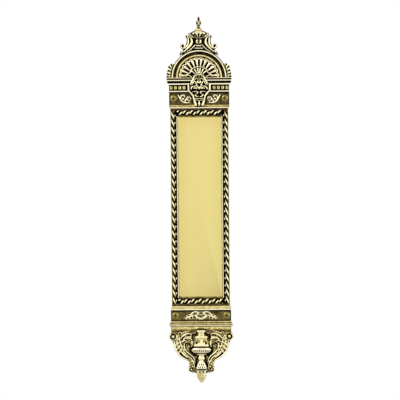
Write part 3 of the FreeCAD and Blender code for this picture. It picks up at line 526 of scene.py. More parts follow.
    def wear(self, ground, tone, contrast, floor):
        """How polished each place is: dark on the ground, bright on what stands over its surroundings, and
        darker where patina and painted shade are laid.
        """
        inside = (self.edge < 0).astype(float)
        risen = np.clip((self.depth - ground) / RISE_TO_POLISH, 0, 1)
        wear = floor + (tone - floor) * risen - np.clip(self.patina, -1, 1)
        for reach, weight in WEAR_REACHES:
            around = blurred(self.depth, inside, max(1, round(reach / self.cell / 2)))
            wear += contrast * weight * (self.depth - around)
        return np.clip(wear, 0, 1)

    def mesh(self, name, back, ground, tone=0.7, contrast=0.6, floor=GROUND_WEAR):
        """The carving as a closed mesh: its front, walls round its edge, and a flat back."""
        wear = self.wear(ground, tone, contrast, floor)
        smooth = blurred(self.depth, (self.edge < 0).astype(float), 1)
        depth = np.where(self.edge < 0, 0.5 * self.depth + 0.5 * smooth, self.skirt)
        fields = (self.across, self.up, depth, self.edge, wear)
        mirrored = [np.hstack([grid[:, :0:-1], grid]) for grid in fields]
        mirrored[0][:, : self.across.shape[1] - 1] *= -1
        return relief_mesh(name, *mirrored, back)


def relief_mesh(name, across, up, depth, edge, wear, back):
    """Turns the grids of a carving into a mesh, cut off where the edge distance passes zero."""
    inside = edge < 0
    number = np.full(edge.shape, -1)
    number[inside] = np.arange(inside.sum())
    points = list(zip(across[inside], depth[inside], up[inside]))
    polish = list(wear[inside])
    corners = np.stack([inside[:-1, :-1], inside[:-1, 1:], inside[1:, 1:], inside[1:, :-1]])
    count = corners.sum(axis=0)
    rows, columns = np.nonzero(count == 4)
    faces = np.column_stack(
        [
            number[rows, columns],
            number[rows, columns + 1],
            number[rows + 1, columns + 1],
            number[rows + 1, columns],
        ]
    ).tolist()
    crossings = {}
    rim = []

    def crossing(one, two):
        """The point where the edge passes between a place inside and one outside."""
        if (one, two) not in crossings:
            share = np.clip(edge[one] / (edge[one] - edge[two]), 0.04, 0.96)
            mixed = [grid[one] + share * (grid[two] - grid[one]) for grid in (across, depth, up)]
            crossings[one, two] = len(points)
            points.append(tuple(mixed))
            polish.append(wear[one])
        return crossings[one, two]

    for row, column in zip(*np.nonzero((count > 0) & (count < 4))):
        around = [(row, column), (row, column + 1), (row + 1, column + 1), (row + 1, column)]
        polygon = []
        exits = []
        for here, after in zip(around, around[1:] + around[:1]):
            if inside[here]:
                polygon.append(number[here])
            if inside[here] and not inside[after]:
                polygon.append(crossing(here, after))
                exits.append(len(polygon) - 1)
            elif inside[after] and not inside[here]:
                polygon.append(crossing(after, here))
        faces.append(polygon)
        rim += [(polygon[i], polygon[(i + 1) % len(polygon)]) for i in exits]
    behind = {}
    for pair in rim:
        for front in pair:
            if front not in behind:
                behind[front] = len(points)
                points.append((points[front][0], back, points[front][2]))
                polish.append(CARVING_BACK_WEAR)
    faces += [(b, a, behind[a], behind[b]) for a, b in rim]
    back_edges = [(behind[a], behind[b]) for a, b in rim]
    return closed_mesh(name, points, faces, polish, back_edges)


def closed_mesh(name, points, faces, wear, back_edges=()):
    """A mesh from points given as x, depth and z, with a wear value each. Back edges are filled flat."""
    mesh = bpy.data.meshes.new(name)
    vertices = [(x * MM, -depth * MM, z * MM) for x, depth, z in points]
    mesh.from_pydata(vertices, [], faces)
    attribute = mesh.attributes.new("wear", "FLOAT", "POINT")
    attribute.data.foreach_set("value", np.asarray(wear, np.float32))
    work = bmesh.new()
    work.from_mesh(mesh)
    work.verts.ensure_lookup_table()
    if back_edges:
        border = [work.edges.get((work.verts[a], work.verts[b])) for a, b in back_edges]
        bmesh.ops.triangle_fill(work, use_beauty=True, edges=border, normal=(0, 1, 0))
    bmesh.ops.remove_doubles(work, verts=work.verts, dist=0.002 * MM)
    bmesh.ops.recalc_face_normals(work, faces=work.faces)
    work.to_mesh(mesh)
    work.free()
    mesh.polygons.foreach_set("use_smooth", [True] * len(mesh.polygons))
    mesh.set_sharp_from_angle(angle=SHARP_ANGLE)
    return mesh


def rings_mesh(name, rings, wear):
    """A closed mesh over like rings of points, listed in turn, with flat ends."""
    count = len(rings[0])
    points = [point for ring in rings for point in ring]
    faces = [tuple(range(count)), tuple(range(len(points) - count, len(points)))]
    for i in range(len(rings) - 1):
        for j in range(count):
            low = i * count + j
            low_next = i * count + (j + 1) % count
            faces.append((low, low_next, low_next + count, low + count))
    return closed_mesh(name, points, faces, wear)


def joined(name, meshes):
    """One mesh of several."""
    work = bmesh.new()
    for mesh in meshes:
        work.from_mesh(mesh)
    whole = bpy.data.meshes.new(name)
    work.to_mesh(whole)
    work.free()
    for mesh in meshes:
        bpy.data.meshes.remove(mesh)
    whole.set_sharp_from_angle(angle=SHARP_ANGLE)
    return whole


def add_piece(mesh, finish, node):
    """Puts a finished mesh in the scene as a piece of the same name, in place of its node."""
    mesh.materials.clear()
    mesh.materials.append(finish_named(finish))
    piece = bpy.data.objects.new(mesh.name, mesh)
    bpy.context.scene.collection.objects.link(piece)
    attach(piece, BODY)
    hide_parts(node)


def add_casting(mesh):
    add_piece(mesh, "cast_antique_brass", PLATE_NODE)


def node_tree(name, inputs):
    """A geometry node tree with its given sockets: named inputs, as triples of name, socket type and
    default, and a material."""
    tree = bpy.data.node_groups.new(name, "GeometryNodeTree")
    tree.interface.new_socket("Geometry", in_out="INPUT", socket_type="NodeSocketGeometry")
    tree.interface.new_socket("Geometry", in_out="OUTPUT", socket_type="NodeSocketGeometry")
    for socket_name, kind, default in inputs:
        socket = tree.interface.new_socket(socket_name, in_out="INPUT", socket_type=kind)
        socket.default_value = default
    tree.interface.new_socket("Material", in_out="INPUT", socket_type="NodeSocketMaterial")
    return tree, tree.nodes.new("NodeGroupInput").outputs


def end_tree(tree, given, geometry):
    """Ends a tree: instances become real, and the material is set."""
    real = add_node(tree, "GeometryNodeRealizeInstances", {"Geometry": geometry})
    painted = add_node(
        tree, "GeometryNodeSetMaterial", {"Geometry": real, "Material": given["Material"]}
    )
    add_node(tree, "NodeGroupOutput", {"Geometry": painted})
    return tree


def grown(name, mesh, tree, values, finish="cast_antique_brass"):
    """The plain mesh that a node tree makes from a mesh, with the tree's inputs set by name."""
    values["Material"] = finish_named(finish)
    maker = bpy.data.objects.new(name, mesh)
    bpy.context.scene.collection.objects.link(maker)
    modifier = maker.modifiers.new(name, "NODES")
    modifier.node_group = tree
    for item in tree.interface.items_tree:
        if item.in_out == "INPUT" and item.name in values:
            modifier[item.identifier] = values[item.name]
    depsgraph = bpy.context.evaluated_depsgraph_get()
    plain = bpy.data.meshes.new_from_object(maker.evaluated_get(depsgraph), depsgraph=depsgraph)
    maker.modifiers.clear()
    bpy.data.objects.remove(maker)
    plain.name = name
    return plain


def rope_tree():
    """Two strands that wind side by side along every edge of a mesh."""
    tree, given = node_tree(
        "rope",
        (
            ("Period", "NodeSocketFloat", 0.018),
            ("Start angle", "NodeSocketFloat", 0.0),
            ("Sway", "NodeSocketFloat", 0.0014),
            ("Stagger", "NodeSocketFloat", 0.0014),
            ("Swing", "NodeSocketFloat", 0.001),
            ("Strand radius", "NodeSocketFloat", 0.0014),
            ("Step", "NodeSocketFloat", 0.0006),
        ),
    )
    runs = add_node(tree, "GeometryNodeMeshToCurve", {"Mesh": given["Geometry"]})
    fine = add_node(
        tree, "GeometryNodeResampleCurve", {"Curve": runs, "Length": given["Step"]}, mode="LENGTH"
    )
    place = add_node(tree, "GeometryNodeSplineParameter").outputs["Length"]
    turns = add_node(tree, "ShaderNodeMath", {0: place, 1: given["Period"]}, operation="DIVIDE")
    winding = {0: turns, 1: 2 * math.pi, 2: given["Start angle"]}
    angle = add_node(tree, "ShaderNodeMath", winding, operation="MULTIPLY_ADD")
    tangent = add_node(tree, "GeometryNodeInputTangent")
    aside = add_node(tree, "ShaderNodeVectorMath", {0: FORWARD, 1: tangent}, operation="CROSS_PRODUCT")
    profile = add_node(
        tree, "GeometryNodeCurvePrimitiveCircle", {"Resolution": 10, "Radius": given["Strand radius"]}
    )
    strands = add_node(tree, "GeometryNodeJoinGeometry")
    for phase, side in ((0.0, 1.0), (math.pi, -1.0)):
        turned = add_node(tree, "ShaderNodeMath", {0: angle, 1: phase}, operation="ADD")
        sine = add_node(tree, "ShaderNodeMath", {0: turned}, operation="SINE")
        cosine = add_node(tree, "ShaderNodeMath", {0: turned}, operation="COSINE")
        middle = add_node(tree, "ShaderNodeMath", {0: given["Stagger"], 1: side}, operation="MULTIPLY")
        sideways = add_node(
            tree, "ShaderNodeMath", {0: sine, 1: given["Sway"], 2: middle}, operation="MULTIPLY_ADD"
        )
        outward = add_node(tree, "ShaderNodeMath", {0: cosine, 1: given["Swing"]}, operation="MULTIPLY")
        across = add_node(tree, "ShaderNodeVectorMath", {0: aside, "Scale": sideways}, operation="SCALE")
        front = add_node(tree, "ShaderNodeVectorMath", {0: FORWARD, "Scale": outward}, operation="SCALE")
        shift = add_node(tree, "ShaderNodeVectorMath", {0: across, 1: front}, operation="ADD")
        wound = add_node(tree, "GeometryNodeSetPosition", {"Geometry": fine, "Offset": shift})
        swept = {"Curve": wound, "Profile Curve": profile, "Fill Caps": True}
        tube = add_node(tree, "GeometryNodeCurveToMesh", swept)
        tree.links.new(tube.outputs["Mesh"], strands.inputs["Geometry"])
    return end_tree(tree, given, strands)


def row_tree():
    """Copies of a mesh along two rows, alike on the left and the right."""
    tree, given = node_tree(
        "rows",
        (
            ("Count", "NodeSocketInt", 4),
            ("First", "NodeSocketVector", (0, 0, 0)),
            ("Step", "NodeSocketVector", (0, 0, 0)),
        ),
    )
    rows = add_node(tree, "GeometryNodeJoinGeometry")
    for side in (1, -1):
        line = {"Count": given["Count"]}
        for socket, name in (("Start Location", "First"), ("Offset", "Step")):
            mirrored = {0: given[name], 1: (side, 1, 1)}
            line[socket] = add_node(tree, "ShaderNodeVectorMath", mirrored, operation="MULTIPLY")
        row = add_node(tree, "GeometryNodeMeshLine", line)
        copies = add_node(
            tree, "GeometryNodeInstanceOnPoints", {"Points": row, "Instance": given["Geometry"]}
        )
        tree.links.new(copies.outputs["Instances"], rows.inputs["Geometry"])
    return end_tree(tree, given, rows)


def fan_tree():
    """Copies of an upright mesh, spread about the plate's axis like the ribs of a fan."""
    tree, given = node_tree(
        "rib_fan",
        (
            ("Count", "NodeSocketInt", 12),
            ("Step", "NodeSocketFloat", 0.26),
            ("Centre", "NodeSocketVector", (0, 0, 0)),
        ),
    )
    one_place = {"Count": given["Count"], "Start Location": given["Centre"], "Offset": (0, 0, 0)}
    spots = add_node(tree, "GeometryNodeMeshLine", one_place)
    index = add_node(tree, "GeometryNodeInputIndex")
    last = add_node(tree, "ShaderNodeMath", {0: given["Count"], 1: 1.0}, operation="SUBTRACT")
    middle = add_node(tree, "ShaderNodeMath", {0: last, 1: 0.5}, operation="MULTIPLY")
    place = add_node(tree, "ShaderNodeMath", {0: index, 1: middle}, operation="SUBTRACT")
    angle = add_node(tree, "ShaderNodeMath", {0: place, 1: given["Step"]}, operation="MULTIPLY")
    turn = add_node(tree, "ShaderNodeCombineXYZ", {"Y": angle})
    turned = {"Points": spots, "Instance": given["Geometry"], "Rotation": turn}
    return end_tree(tree, given, add_node(tree, "GeometryNodeInstanceOnPoints", turned))


def corners_tree():
    """Copies of a mesh at the four corners of an upright rectangle."""
    tree, given = node_tree(
        "screw_corners", (("Width", "NodeSocketFloat", 0.064), ("Height", "NodeSocketFloat", 0.271))
    )
    size = {"Size X": given["Width"], "Size Y": given["Height"]}
    flat = add_node(tree, "GeometryNodeMeshGrid", {**size, "Vertices X": 2, "Vertices Y": 2})
    standing = add_node(
        tree, "GeometryNodeTransform", {"Geometry": flat, "Rotation": (math.pi / 2, 0, 0)}
    )
    spread = {"Points": standing, "Instance": given["Geometry"]}
    return end_tree(tree, given, add_node(tree, "GeometryNodeInstanceOnPoints", spread))


def flat_lines(half_width, depth, *levels):
    """Lines of a flat course. Levels are pairs of height and wear."""
    return tuple((z, half_width, depth, polish) for z, polish in levels)


# Straight mouldings from the pendant up to the arch: height, half width, depth and wear of each line
BASE_LINES = (
    (-152.4, FRIEZE_HALF_WIDTH, 4.2, 0.62), (-151.6, FRIEZE_HALF_WIDTH, 5.0, 0.80),
    (-150.4, FRIEZE_HALF_WIDTH, 5.8, 0.78), (-149.6, 37.7, 6.6, 0.72), (-149.1, 38.2, 8.0, 0.48),
    (-148.7, BASE_CORONA_HALF_WIDTH, 8.7, 0.56), (-148.3, BASE_CORONA_HALF_WIDTH, 9.0, 1.00),
    (-147.5, BASE_CORONA_HALF_WIDTH, 9.0, 1.00), (-147.2, 39.4, 8.4, 0.38), (-146.6, 39.4, 8.4, 0.36),
    (-146.3, 39.5, 8.6, 0.74), (-145.6, 39.5, 8.5, 0.78), (-145.2, CORNICE_HALF_WIDTH, 7.5, 0.50),
    (-144.7, CORNICE_HALF_WIDTH, 7.3, 0.36), (-144.2, 38.4, 7.0, 0.36),
    (-143.8, FRIEZE_HALF_WIDTH, 6.4, 0.66), (-142.8, FRIEZE_HALF_WIDTH, 6.4, 0.74),
    (-142.2, FRIEZE_HALF_WIDTH, 5.4, 0.40),
)
LOWER_FRIEZE_LINES = flat_lines(
    FRIEZE_HALF_WIDTH,
    FRIEZE_DEPTH,
    (-141.9, 0.20), (-141.2, 0.30), (-140.2, 0.40), (-136.0, 0.36), (-131.0, 0.32), (-130.0, 0.14),
    (-129.3, 0.06),
)
LOWER_ARCHITRAVE_LINES = (
    (-129.0, FRIEZE_HALF_WIDTH, 6.2, 0.35), (-128.6, FRIEZE_HALF_WIDTH, 6.6, 0.96),
    (-127.4, FRIEZE_HALF_WIDTH, 6.6, 0.96), (-127.1, FRIEZE_HALF_WIDTH, 6.2, 0.60),
    (-126.6, FRIEZE_HALF_WIDTH, 6.0, 0.64), (-125.8, 37.4, 5.7, 0.62), (-125.3, 37.3, 5.4, 0.68),
    (-124.2, 37.1, 4.9, 0.76), (-123.6, 36.9, 4.3, 0.68), (-123.1, 36.6, 3.8, 0.36),
)
FIELD_LINES = flat_lines(
    FIELD_HALF_WIDTH,
    FIELD_DEPTH,
    (-122.8, 0.32), (-121.4, 0.36), (-FIELD_HALF_HEIGHT, 0.05), (FIELD_HALF_HEIGHT, 0.05),
    (121.2, 0.34), (122.2, 0.24), (122.9, 0.28),
)
ARCHITRAVE_LINES = (
    (123.0, 37.3, 6.0, 0.45), (123.3, FRIEZE_HALF_WIDTH, 6.6, 0.92),
    (124.4, FRIEZE_HALF_WIDTH, 6.6, 0.94), (124.7, FRIEZE_HALF_WIDTH, 6.2, 0.56),
    (125.2, FRIEZE_HALF_WIDTH, 6.1, 0.52), (125.9, FRIEZE_HALF_WIDTH, 5.9, 0.54),
    (126.6, FRIEZE_HALF_WIDTH, 5.7, 0.62), (127.3, FRIEZE_HALF_WIDTH, 5.4, 0.56),
    (127.75, FRIEZE_HALF_WIDTH, 4.9, 0.28),
)
FRIEZE_LINES = flat_lines(
    FRIEZE_HALF_WIDTH,
    FRIEZE_DEPTH,
    (128.3, 0.32), (129.2, 0.33), (141.4, 0.30), (142.3, 0.20), (142.9, 0.10), (143.4, 0.12),
)
FRIEZE_FILLET_LINES = (
    (143.5, FRIEZE_HALF_WIDTH, 6.2, 0.60), (143.8, FRIEZE_HALF_WIDTH, 6.6, 1.0),
    (145.0, FRIEZE_HALF_WIDTH, 6.6, 1.0), (145.3, FRIEZE_HALF_WIDTH, 6.2, 0.50),
)
DENTIL_LINES = flat_lines(
    FRIEZE_HALF_WIDTH, FRIEZE_DEPTH, (145.4, 0.14), (146.3, 0.04), (151.6, 0.04), (152.3, 0.10)
)
# Under the corona, from 154.65 to 157.1, wear 0 makes the hollow black: its patina, with the corona's
# shadow painted in
CORNICE_LINES = (
    (152.4, 38.4, 6.7, 0.60), (152.7, CORNICE_HALF_WIDTH, 7.2, 1.0),
    (154.1, CORNICE_HALF_WIDTH, 7.2, 1.0), (154.5, 38.8, 6.9, 0.50), (154.65, 39.4, 6.4, 0.0),
    (155.6, 39.9, 6.2, 0.0), (156.9, 39.9, 6.6, 0.0), (157.1, 39.9, 7.8, 0.0),
    (157.25, 40.5, 9.6, 0.70), (157.4, CORONA_HALF_WIDTH, 10.0, 1.0),
    (158.5, CORONA_HALF_WIDTH, 10.0, 1.0), (158.6, 40.4, 9.6, 0.30), (158.75, 40.4, 8.2, 0.0),
    (160.3, 40.4, 8.0, 0.0), (160.45, 40.5, 8.6, 0.35), (160.6, CORONA_HALF_WIDTH, 8.9, 0.80),
    (161.1, CORONA_HALF_WIDTH, 8.9, 0.80), (ARCH_LOW, 40.4, 8.7, 0.50),
)
ARCH_RIM = ARCH_RADIUS + 0.5
# The arch from its outer wall in to its field: radius, depth and wear of each line
ARCH_LINES = (
    (ARCH_RIM, 0.0, BACK_WEAR), (ARCH_RIM, 7.2, 0.02), (34.2, 8.3, 0.02), (34.05, 8.5, 0.60),
    (33.85, 8.6, 1.0), (32.9, 8.6, 1.0), (32.6, 8.4, 0.50), (32.4, 8.0, 0.04), (31.8, 6.8, 0.02),
    (31.3, 6.2, 0.22), (29.9, 5.5, 0.24), (29.5, 5.4, 0.06), (29.1, 5.6, 0.06), (28.9, 5.9, 0.55),
    (28.6, 6.2, 0.70), (28.0, 6.5, 0.76), (27.3, 6.4, 0.70), (26.8, 6.1, 0.58), (26.3, 5.6, 0.44),
    (25.9, 5.2, 0.36), (25.6, ARCH_FIELD_DEPTH, 0.30), (25.1, ARCH_FIELD_DEPTH, 0.02),
    (0.0, ARCH_FIELD_DEPTH, 0.02), (0.0, 0.0, BACK_WEAR),
)
ARCH_STEPS = 128
COURSE_EDGE = 1.1
# Upright fillets beside the rope: distance from the axis, half width, depth, half length and wear
UPRIGHT_FILLETS = ((35.9, 0.4, 4.4, 121.6, 0.68), (28.1, 0.6, 4.9, 113.6, 0.96))


class FINGERPLATE_OT_mouldings(bpy.types.Operator):
    """Add the field, the straight mouldings and the arch"""

    bl_idname = "fingerplate.mouldings"
    bl_label = "Mouldings and arch"

    def courses(self):
        lines = BASE_LINES + LOWER_FRIEZE_LINES + LOWER_ARCHITRAVE_LINES + FIELD_LINES
        lines += ARCHITRAVE_LINES + FRIEZE_LINES + FRIEZE_FILLET_LINES + DENTIL_LINES + CORNICE_LINES
        rings = []
        wear = []
        for z, half_width, depth, polish in lines:
            inner = half_width - COURSE_EDGE
            left = [(-half_width, 0, z), (-half_width, depth, z), (-inner, depth, z)]
            right = [(inner, depth, z), (half_width, depth, z), (half_width, 0, z)]
            rings.append(left + right)
            # The sunk friezes keep their patina at their ends
            edge = GROUND_WEAR if depth == FRIEZE_DEPTH else polish
            wear += [BACK_WEAR, edge, polish, polish, edge, BACK_WEAR]
        return rings_mesh("courses", rings, wear)

    def arch(self):
        rings = []
        wear = []
        for i in range(ARCH_STEPS + 1):
            angle = math.pi * i / ARCH_STEPS
            across = math.cos(angle)
            rise = math.sin(angle)
            rings.append([(r * across, depth, ARCH_LOW + r * rise) for r, depth, _ in ARCH_LINES])
            wear += [polish for _, _, polish in ARCH_LINES]
        return rings_mesh("arch", rings, wear)

    def fillet(self, x, half_width, depth, half_length, polish):
        """An upright strip with a chamfer at each side."""
        half = ((1.0, FIELD_DEPTH - DEEP_ROOT, 0.3), (1.0, depth - 0.3, 0.8), (0.5, depth, 1.0))
        section = [(-share, front, worn) for share, front, worn in half] + list(reversed(half))
        rings = []
        for z in (-half_length, half_length):
            rings.append([(x + share * half_width, front, z) for share, front, _ in section])
        return rings_mesh("fillet", rings, [polish * worn for _, _, worn in section] * len(rings))

    def execute(self, context):
        meshes = [self.courses(), self.arch()]
        for x, *shape in UPRIGHT_FILLETS:
            meshes += [self.fillet(x, *shape), self.fillet(-x, *shape)]
        add_casting(joined("mouldings", meshes))
        return {"FINISHED"}


# The panel's edge, from its quirk in: how far outside the panel's sides and its ends, depth and wear
PANEL_LINES = (
    (0.55, 2.2, FIELD_DEPTH - DEEP_ROOT, 0.05), (0.55, 2.2, FIELD_DEPTH + 0.05, 0.10),
    (0.45, 1.7, FIELD_DEPTH + 0.2, 0.30), (0.10, 0.9, FIELD_DEPTH + 0.3, 0.42), (0.00, 0.2, 4.0, 0.50),
    (-0.30, -0.4, 4.5, 0.60), (-0.60, -0.8, 4.6, 0.66),
)
CORNER_STEPS = 6
LEAST_CORNER = 0.4


class FINGERPLATE_OT_push_panel(bpy.types.Operator):
    """Add the plain push panel with the quirk round its edge"""

    bl_idname = "fingerplate.push_panel"
    bl_label = "Push panel"

    def outline(self, sizes, outside, beyond, depth):
        """A rectangle with rounded corners, wider and longer than the panel by two amounts."""
        radius = max(in_mm(sizes.panel_corner) + min(outside, beyond), LEAST_CORNER)
        half_x = in_mm(sizes.panel_width) / 2 + outside - radius
        half_z = in_mm(sizes.panel_height) / 2 + beyond - radius
        points = []
        for quarter, (x, z) in enumerate(((1, 1), (-1, 1), (-1, -1), (1, -1))):
            for step in range(CORNER_STEPS + 1):
                angle = math.pi / 2 * (quarter + step / CORNER_STEPS)
                around = (math.cos(angle) * radius, math.sin(angle) * radius)
                points.append((x * half_x + around[0], depth, z * half_z + around[1]))
        return points

    def execute(self, context):
        sizes = context.scene.plate_sizes
        rings = [self.outline(sizes, *line[:3]) for line in PANEL_LINES]
        wear = [polish for *_, polish in PANEL_LINES for _ in rings[0]]
        mesh = rings_mesh("push_panel", rings, wear)
        add_casting(mesh)
        mesh.materials.append(finish_named("satin_brass"))
        front = max(mesh.polygons, key=lambda face: face.area if face.normal.y < 0 else 0)
        front.material_index = 1
        return {"FINISHED"}


ROPE_SIDE_MIDDLE = 33.3
ROPE_SIDE_START = math.radians(116)
ROPE_SIDE_HALF_LENGTH = 120.3
ROPE_END_MIDDLE = 117.8
ROPE_END_HALF_LENGTH = 27.6
ROPE_DEPTH = 4.4
ROPE_STEP = 0.6 * MM
ROPE_DARKEST = 0.02
ROPE_WEAR_POWER = 1.2


class FINGERPLATE_OT_rope_border(bpy.types.Operator):
    """Add the rope that runs round the panel"""

    bl_idname = "fingerplate.rope_border"
    bl_label = "Rope border"

    def run(self, name, sizes, ends, winding):
        """Rope along straight runs."""
        line = bpy.data.meshes.new(name)
        points = [(x * MM, -ROPE_DEPTH * MM, z * MM) for x, z in ends]
        line.from_pydata(points, [(i, i + 1) for i in range(0, len(points), 2)], [])
        values = {
            **winding,
            "Swing": sizes.rope_swing,
            "Strand radius": sizes.rope_strand,
            "Step": ROPE_STEP,
        }
        return grown(name, line, rope_tree(), values)

    def execute(self, context):
        sizes = context.scene.plate_sizes
        side_ends = []
        end_ends = []
        for one in (-1, 1):
            for two in (-1, 1):
                side_ends.append((one * ROPE_SIDE_MIDDLE, two * ROPE_SIDE_HALF_LENGTH))
                end_ends.append((two * ROPE_END_HALF_LENGTH, one * ROPE_END_MIDDLE))
        side_winding = {
            "Period": sizes.rope_side_period,
            "Start angle": ROPE_SIDE_START,
            "Sway": sizes.rope_side_sway,
            "Stagger": 0.0,
        }
        # The end rope is wound tighter, with its strands side by side
        end_winding = {
            "Period": sizes.rope_end_period,
            "Start angle": 0.0,
            "Sway": sizes.rope_end_sway,
            "Stagger": sizes.rope_stagger,
        }
        sides = self.run("side_rope", sizes, side_ends, side_winding)
        ends = self.run("end_rope", sizes, end_ends, end_winding)
        rope = joined("rope_border", [sides, ends])
        # A strand is polished at its front and dark where it dives under the next
        depth = np.array([-vertex.co.y for vertex in rope.vertices]) / MM
        front = ROPE_DEPTH + in_mm(sizes.rope_swing) + in_mm(sizes.rope_strand)
        risen = np.clip((depth - ROPE_DEPTH) / (front - ROPE_DEPTH), 0, 1)
        wear = ROPE_DARKEST + (1 - ROPE_DARKEST) * risen**ROPE_WEAR_POWER
        attribute = rope.attributes.new("wear", "FLOAT", "POINT")
        attribute.data.foreach_set("value", wear.astype(np.float32))
        rope.polygons.foreach_set("use_smooth", [True] * len(rope.polygons))
        add_casting(rope)
        return {"FINISHED"}


BEAD_COUNT = 26
BEAD_MIDDLE = 30.6
BEAD_LOWEST = -117.0
BEAD_HALF_WIDTH = 0.85
BEAD_HALF_HEIGHT = 2.0
BEAD_RISE = 2.4


class FINGERPLATE_OT_bead_rows(bpy.types.Operator):
    """Add the row of long beads between each side rope and the panel"""

    bl_idname = "fingerplate.bead_rows"
    bl_label = "Bead rows"

    def execute(self, context):
        sizes = context.scene.plate_sizes
        bead = Relief(1.2, -2.4, 2.4)
        bead.dome(0, 0, BEAD_HALF_WIDTH, BEAD_HALF_HEIGHT, FIELD_DEPTH, BEAD_RISE)
        mesh = bead.mesh("bead", FIELD_DEPTH - ROOT, FIELD_DEPTH, tone=1.0, contrast=0.4)
        values = {
            "Count": BEAD_COUNT,
            "First": (BEAD_MIDDLE * MM, 0, BEAD_LOWEST * MM),
            # Each bead stands beside one strand, and a turn has two strands
            "Step": (0, 0, sizes.rope_side_period / 2),
        }
        add_casting(grown("bead_rows", mesh, row_tree(), values))
        return {"FINISHED"}


DENTIL_MIDDLE = 148.75
DENTIL_OUTLINE = ((0, 2.0), (1.4, 2.0), (1.65, 1.7), (1.65, -1.7), (1.4, -2.0), (0, -2.0))
DENTIL_DEPTH = 6.4
# The cushion on a dentil: place, half width, half height, depth at its edge and rise
DENTIL_CUSHION = (0, 0, 1.5, 1.85, 6.3, 0.5)
# The hollow in its middle: place, half width, half height and sink
DENTIL_HOLLOW = (0, 0.1, 0.9, 1.1, 0.7)


class FINGERPLATE_OT_dentils(bpy.types.Operator):
    """Add the dentils on each side of the console"""

    bl_idname = "fingerplate.dentils"
    bl_label = "Dentils"

    def execute(self, context):
        sizes = context.scene.plate_sizes
        block = Relief(2.2, -2.5, 2.5)
        block.field(DENTIL_OUTLINE, DENTIL_DEPTH)
        block.dome(*DENTIL_CUSHION, flat_section)
        block.pit(*DENTIL_HOLLOW)
        mesh = block.mesh("dentil", FRIEZE_DEPTH - ROOT, FRIEZE_DEPTH, tone=0.66, contrast=0.55)
        values = {
            "Count": sizes.dentil_count,
            "First": (FRIEZE_HALF_WIDTH * MM - sizes.dentil_inset, 0, DENTIL_MIDDLE * MM),
            "Step": (-sizes.dentil_pitch, 0, 0),
        }
        add_casting(grown("dentils", mesh, row_tree(), values))
        return {"FINISHED"}


HEART_ANGLES_DEG = (8.0, 27.0, 47.0)
HEART_RAY_RADII = (5.6, 8.6, 11.6)
# Raised work at the shell's root, on the right: path, half widths and rise
HEART_BANDS = (
    (((20.2, 163.2), (17.0, 164.4), (12.4, 166.6), (9.0, 169.8)), (0.6, 0.9, 1.0, 0.8), 2.2),
    (((15.6, 164.8), (11.8, 164.0), (8.4, 161.8)), (0.8, 0.9, 0.8), 2.0),
)
HEART_RISE = 0.8
HEART_BOWL = ((-7.4, 166.2), (0, 165.6), (7.4, 166.2))
# The scallop over a rib's end: share of a rib's step aside, and radius
SCALLOP = ((-0.5, 22.9), (-0.3, 24.3), (0.0, 24.8), (0.3, 24.3), (0.5, 22.9))


class FINGERPLATE_OT_shell(bpy.types.Operator):
    """Add the scallop shell in the arch"""

    bl_idname = "fingerplate.shell"
    bl_label = "Shell"

    def ribs(self, sizes):
        """The long ribs, spread from the arch's centre."""
        root = in_mm(sizes.rib_root)
        tip = in_mm(sizes.rib_tip)
        rib = Relief(2.6, root - 1, tip + 1)
        line = [(0, root + 0.9), (0, (root + tip) / 2), (0, tip - 1.9)]
        rib.band(line, (1.05, 1.5, 2.2), ARCH_FIELD_DEPTH, 2.3)
        mesh = rib.mesh("rib", ARCH_FIELD_DEPTH - ROOT, ARCH_FIELD_DEPTH + 0.4, tone=0.84, contrast=0.4)
        values = {
            "Count": sizes.rib_count,
            "Step": sizes.rib_step,
            "Centre": (0, 0, ARCH_LOW * MM),
        }
        return grown("shell_ribs", mesh, fan_tree(), values)

    def heart(self, sizes):
        """The small fan at the shell's root, and the scallops round the ribs' ends."""
        carving = Relief(27.0, ARCH_LOW - 1, ARCH_LOW + 27)
        base = ARCH_FIELD_DEPTH
        carving.dome(0, ARCH_LOW, 9.6, 13.0, base, HEART_RISE, flat_section)
        carving.band(arc(0, ARCH_LOW, 13.8, 38, 90), (0.9, 0.8), base, 2.0)
        carving.bands(HEART_BANDS, base)
        for angle in HEART_ANGLES_DEG:
            lean = math.radians(angle)
            ray = [(r * math.sin(lean), ARCH_LOW + r * math.cos(lean)) for r in HEART_RAY_RADII]
            carving.band(curve_through(ray), (0.7, 0.85, 1.1), base + HEART_RISE, 1.5)
            carving.dome(*ray[0], 1.0, 1.0, base + HEART_RISE, 1.6)
        carving.darken(curve_through(HEART_BOWL), 1.2, 0.4)
        step = math.degrees(sizes.rib_step)
        for i in range(sizes.rib_count // 2):
            middle = 90 - (i + 0.5) * step
            ends = [arc(0, ARCH_LOW, r, middle + aside * step, 90, 2)[0] for aside, r in SCALLOP]
            carving.band(curve_through(ends), 0.85, base, 2.0)
        return carving.mesh("shell_heart", base - ROOT, base, tone=0.8, contrast=0.5)

    def execute(self, context):
        sizes = context.scene.plate_sizes
        add_casting(self.ribs(sizes))
        add_casting(self.heart(sizes))
        return {"FINISHED"}


EAR_OUTLINE = (
    (29.6, 178.4), (33.6, 179.2), (36.2, 178.2), (38.2, 176.0), (38.9, 172.6), (39.4, 169.6),
    (40.3, 166.4), (40.5, 161.0), (30.0, 161.0), (30.0, 170.0),
)
# Cuts between the lobes of the leaf beside the arch, on the right, from its edge in
EAR_CUTS = (
    ((34.6, 179.4), (34.0, 176.8), (33.0, 175.0)), ((38.6, 175.2), (36.8, 174.6), (35.0, 172.6)),
    ((39.2, 170.0), (37.4, 170.2), (35.6, 169.0)), ((39.9, 166.6), (38.2, 165.8), (36.4, 165.4)),
    ((40.6, 163.4), (39.0, 162.6), (37.2, 162.4)),
)
EAR_CUT_HALF_WIDTHS = (1.15, 0.95, 0.5)
EAR_CUT_SINK = 3.0
EAR_DEPTH = 5.0
EAR_GROUND = 3.5


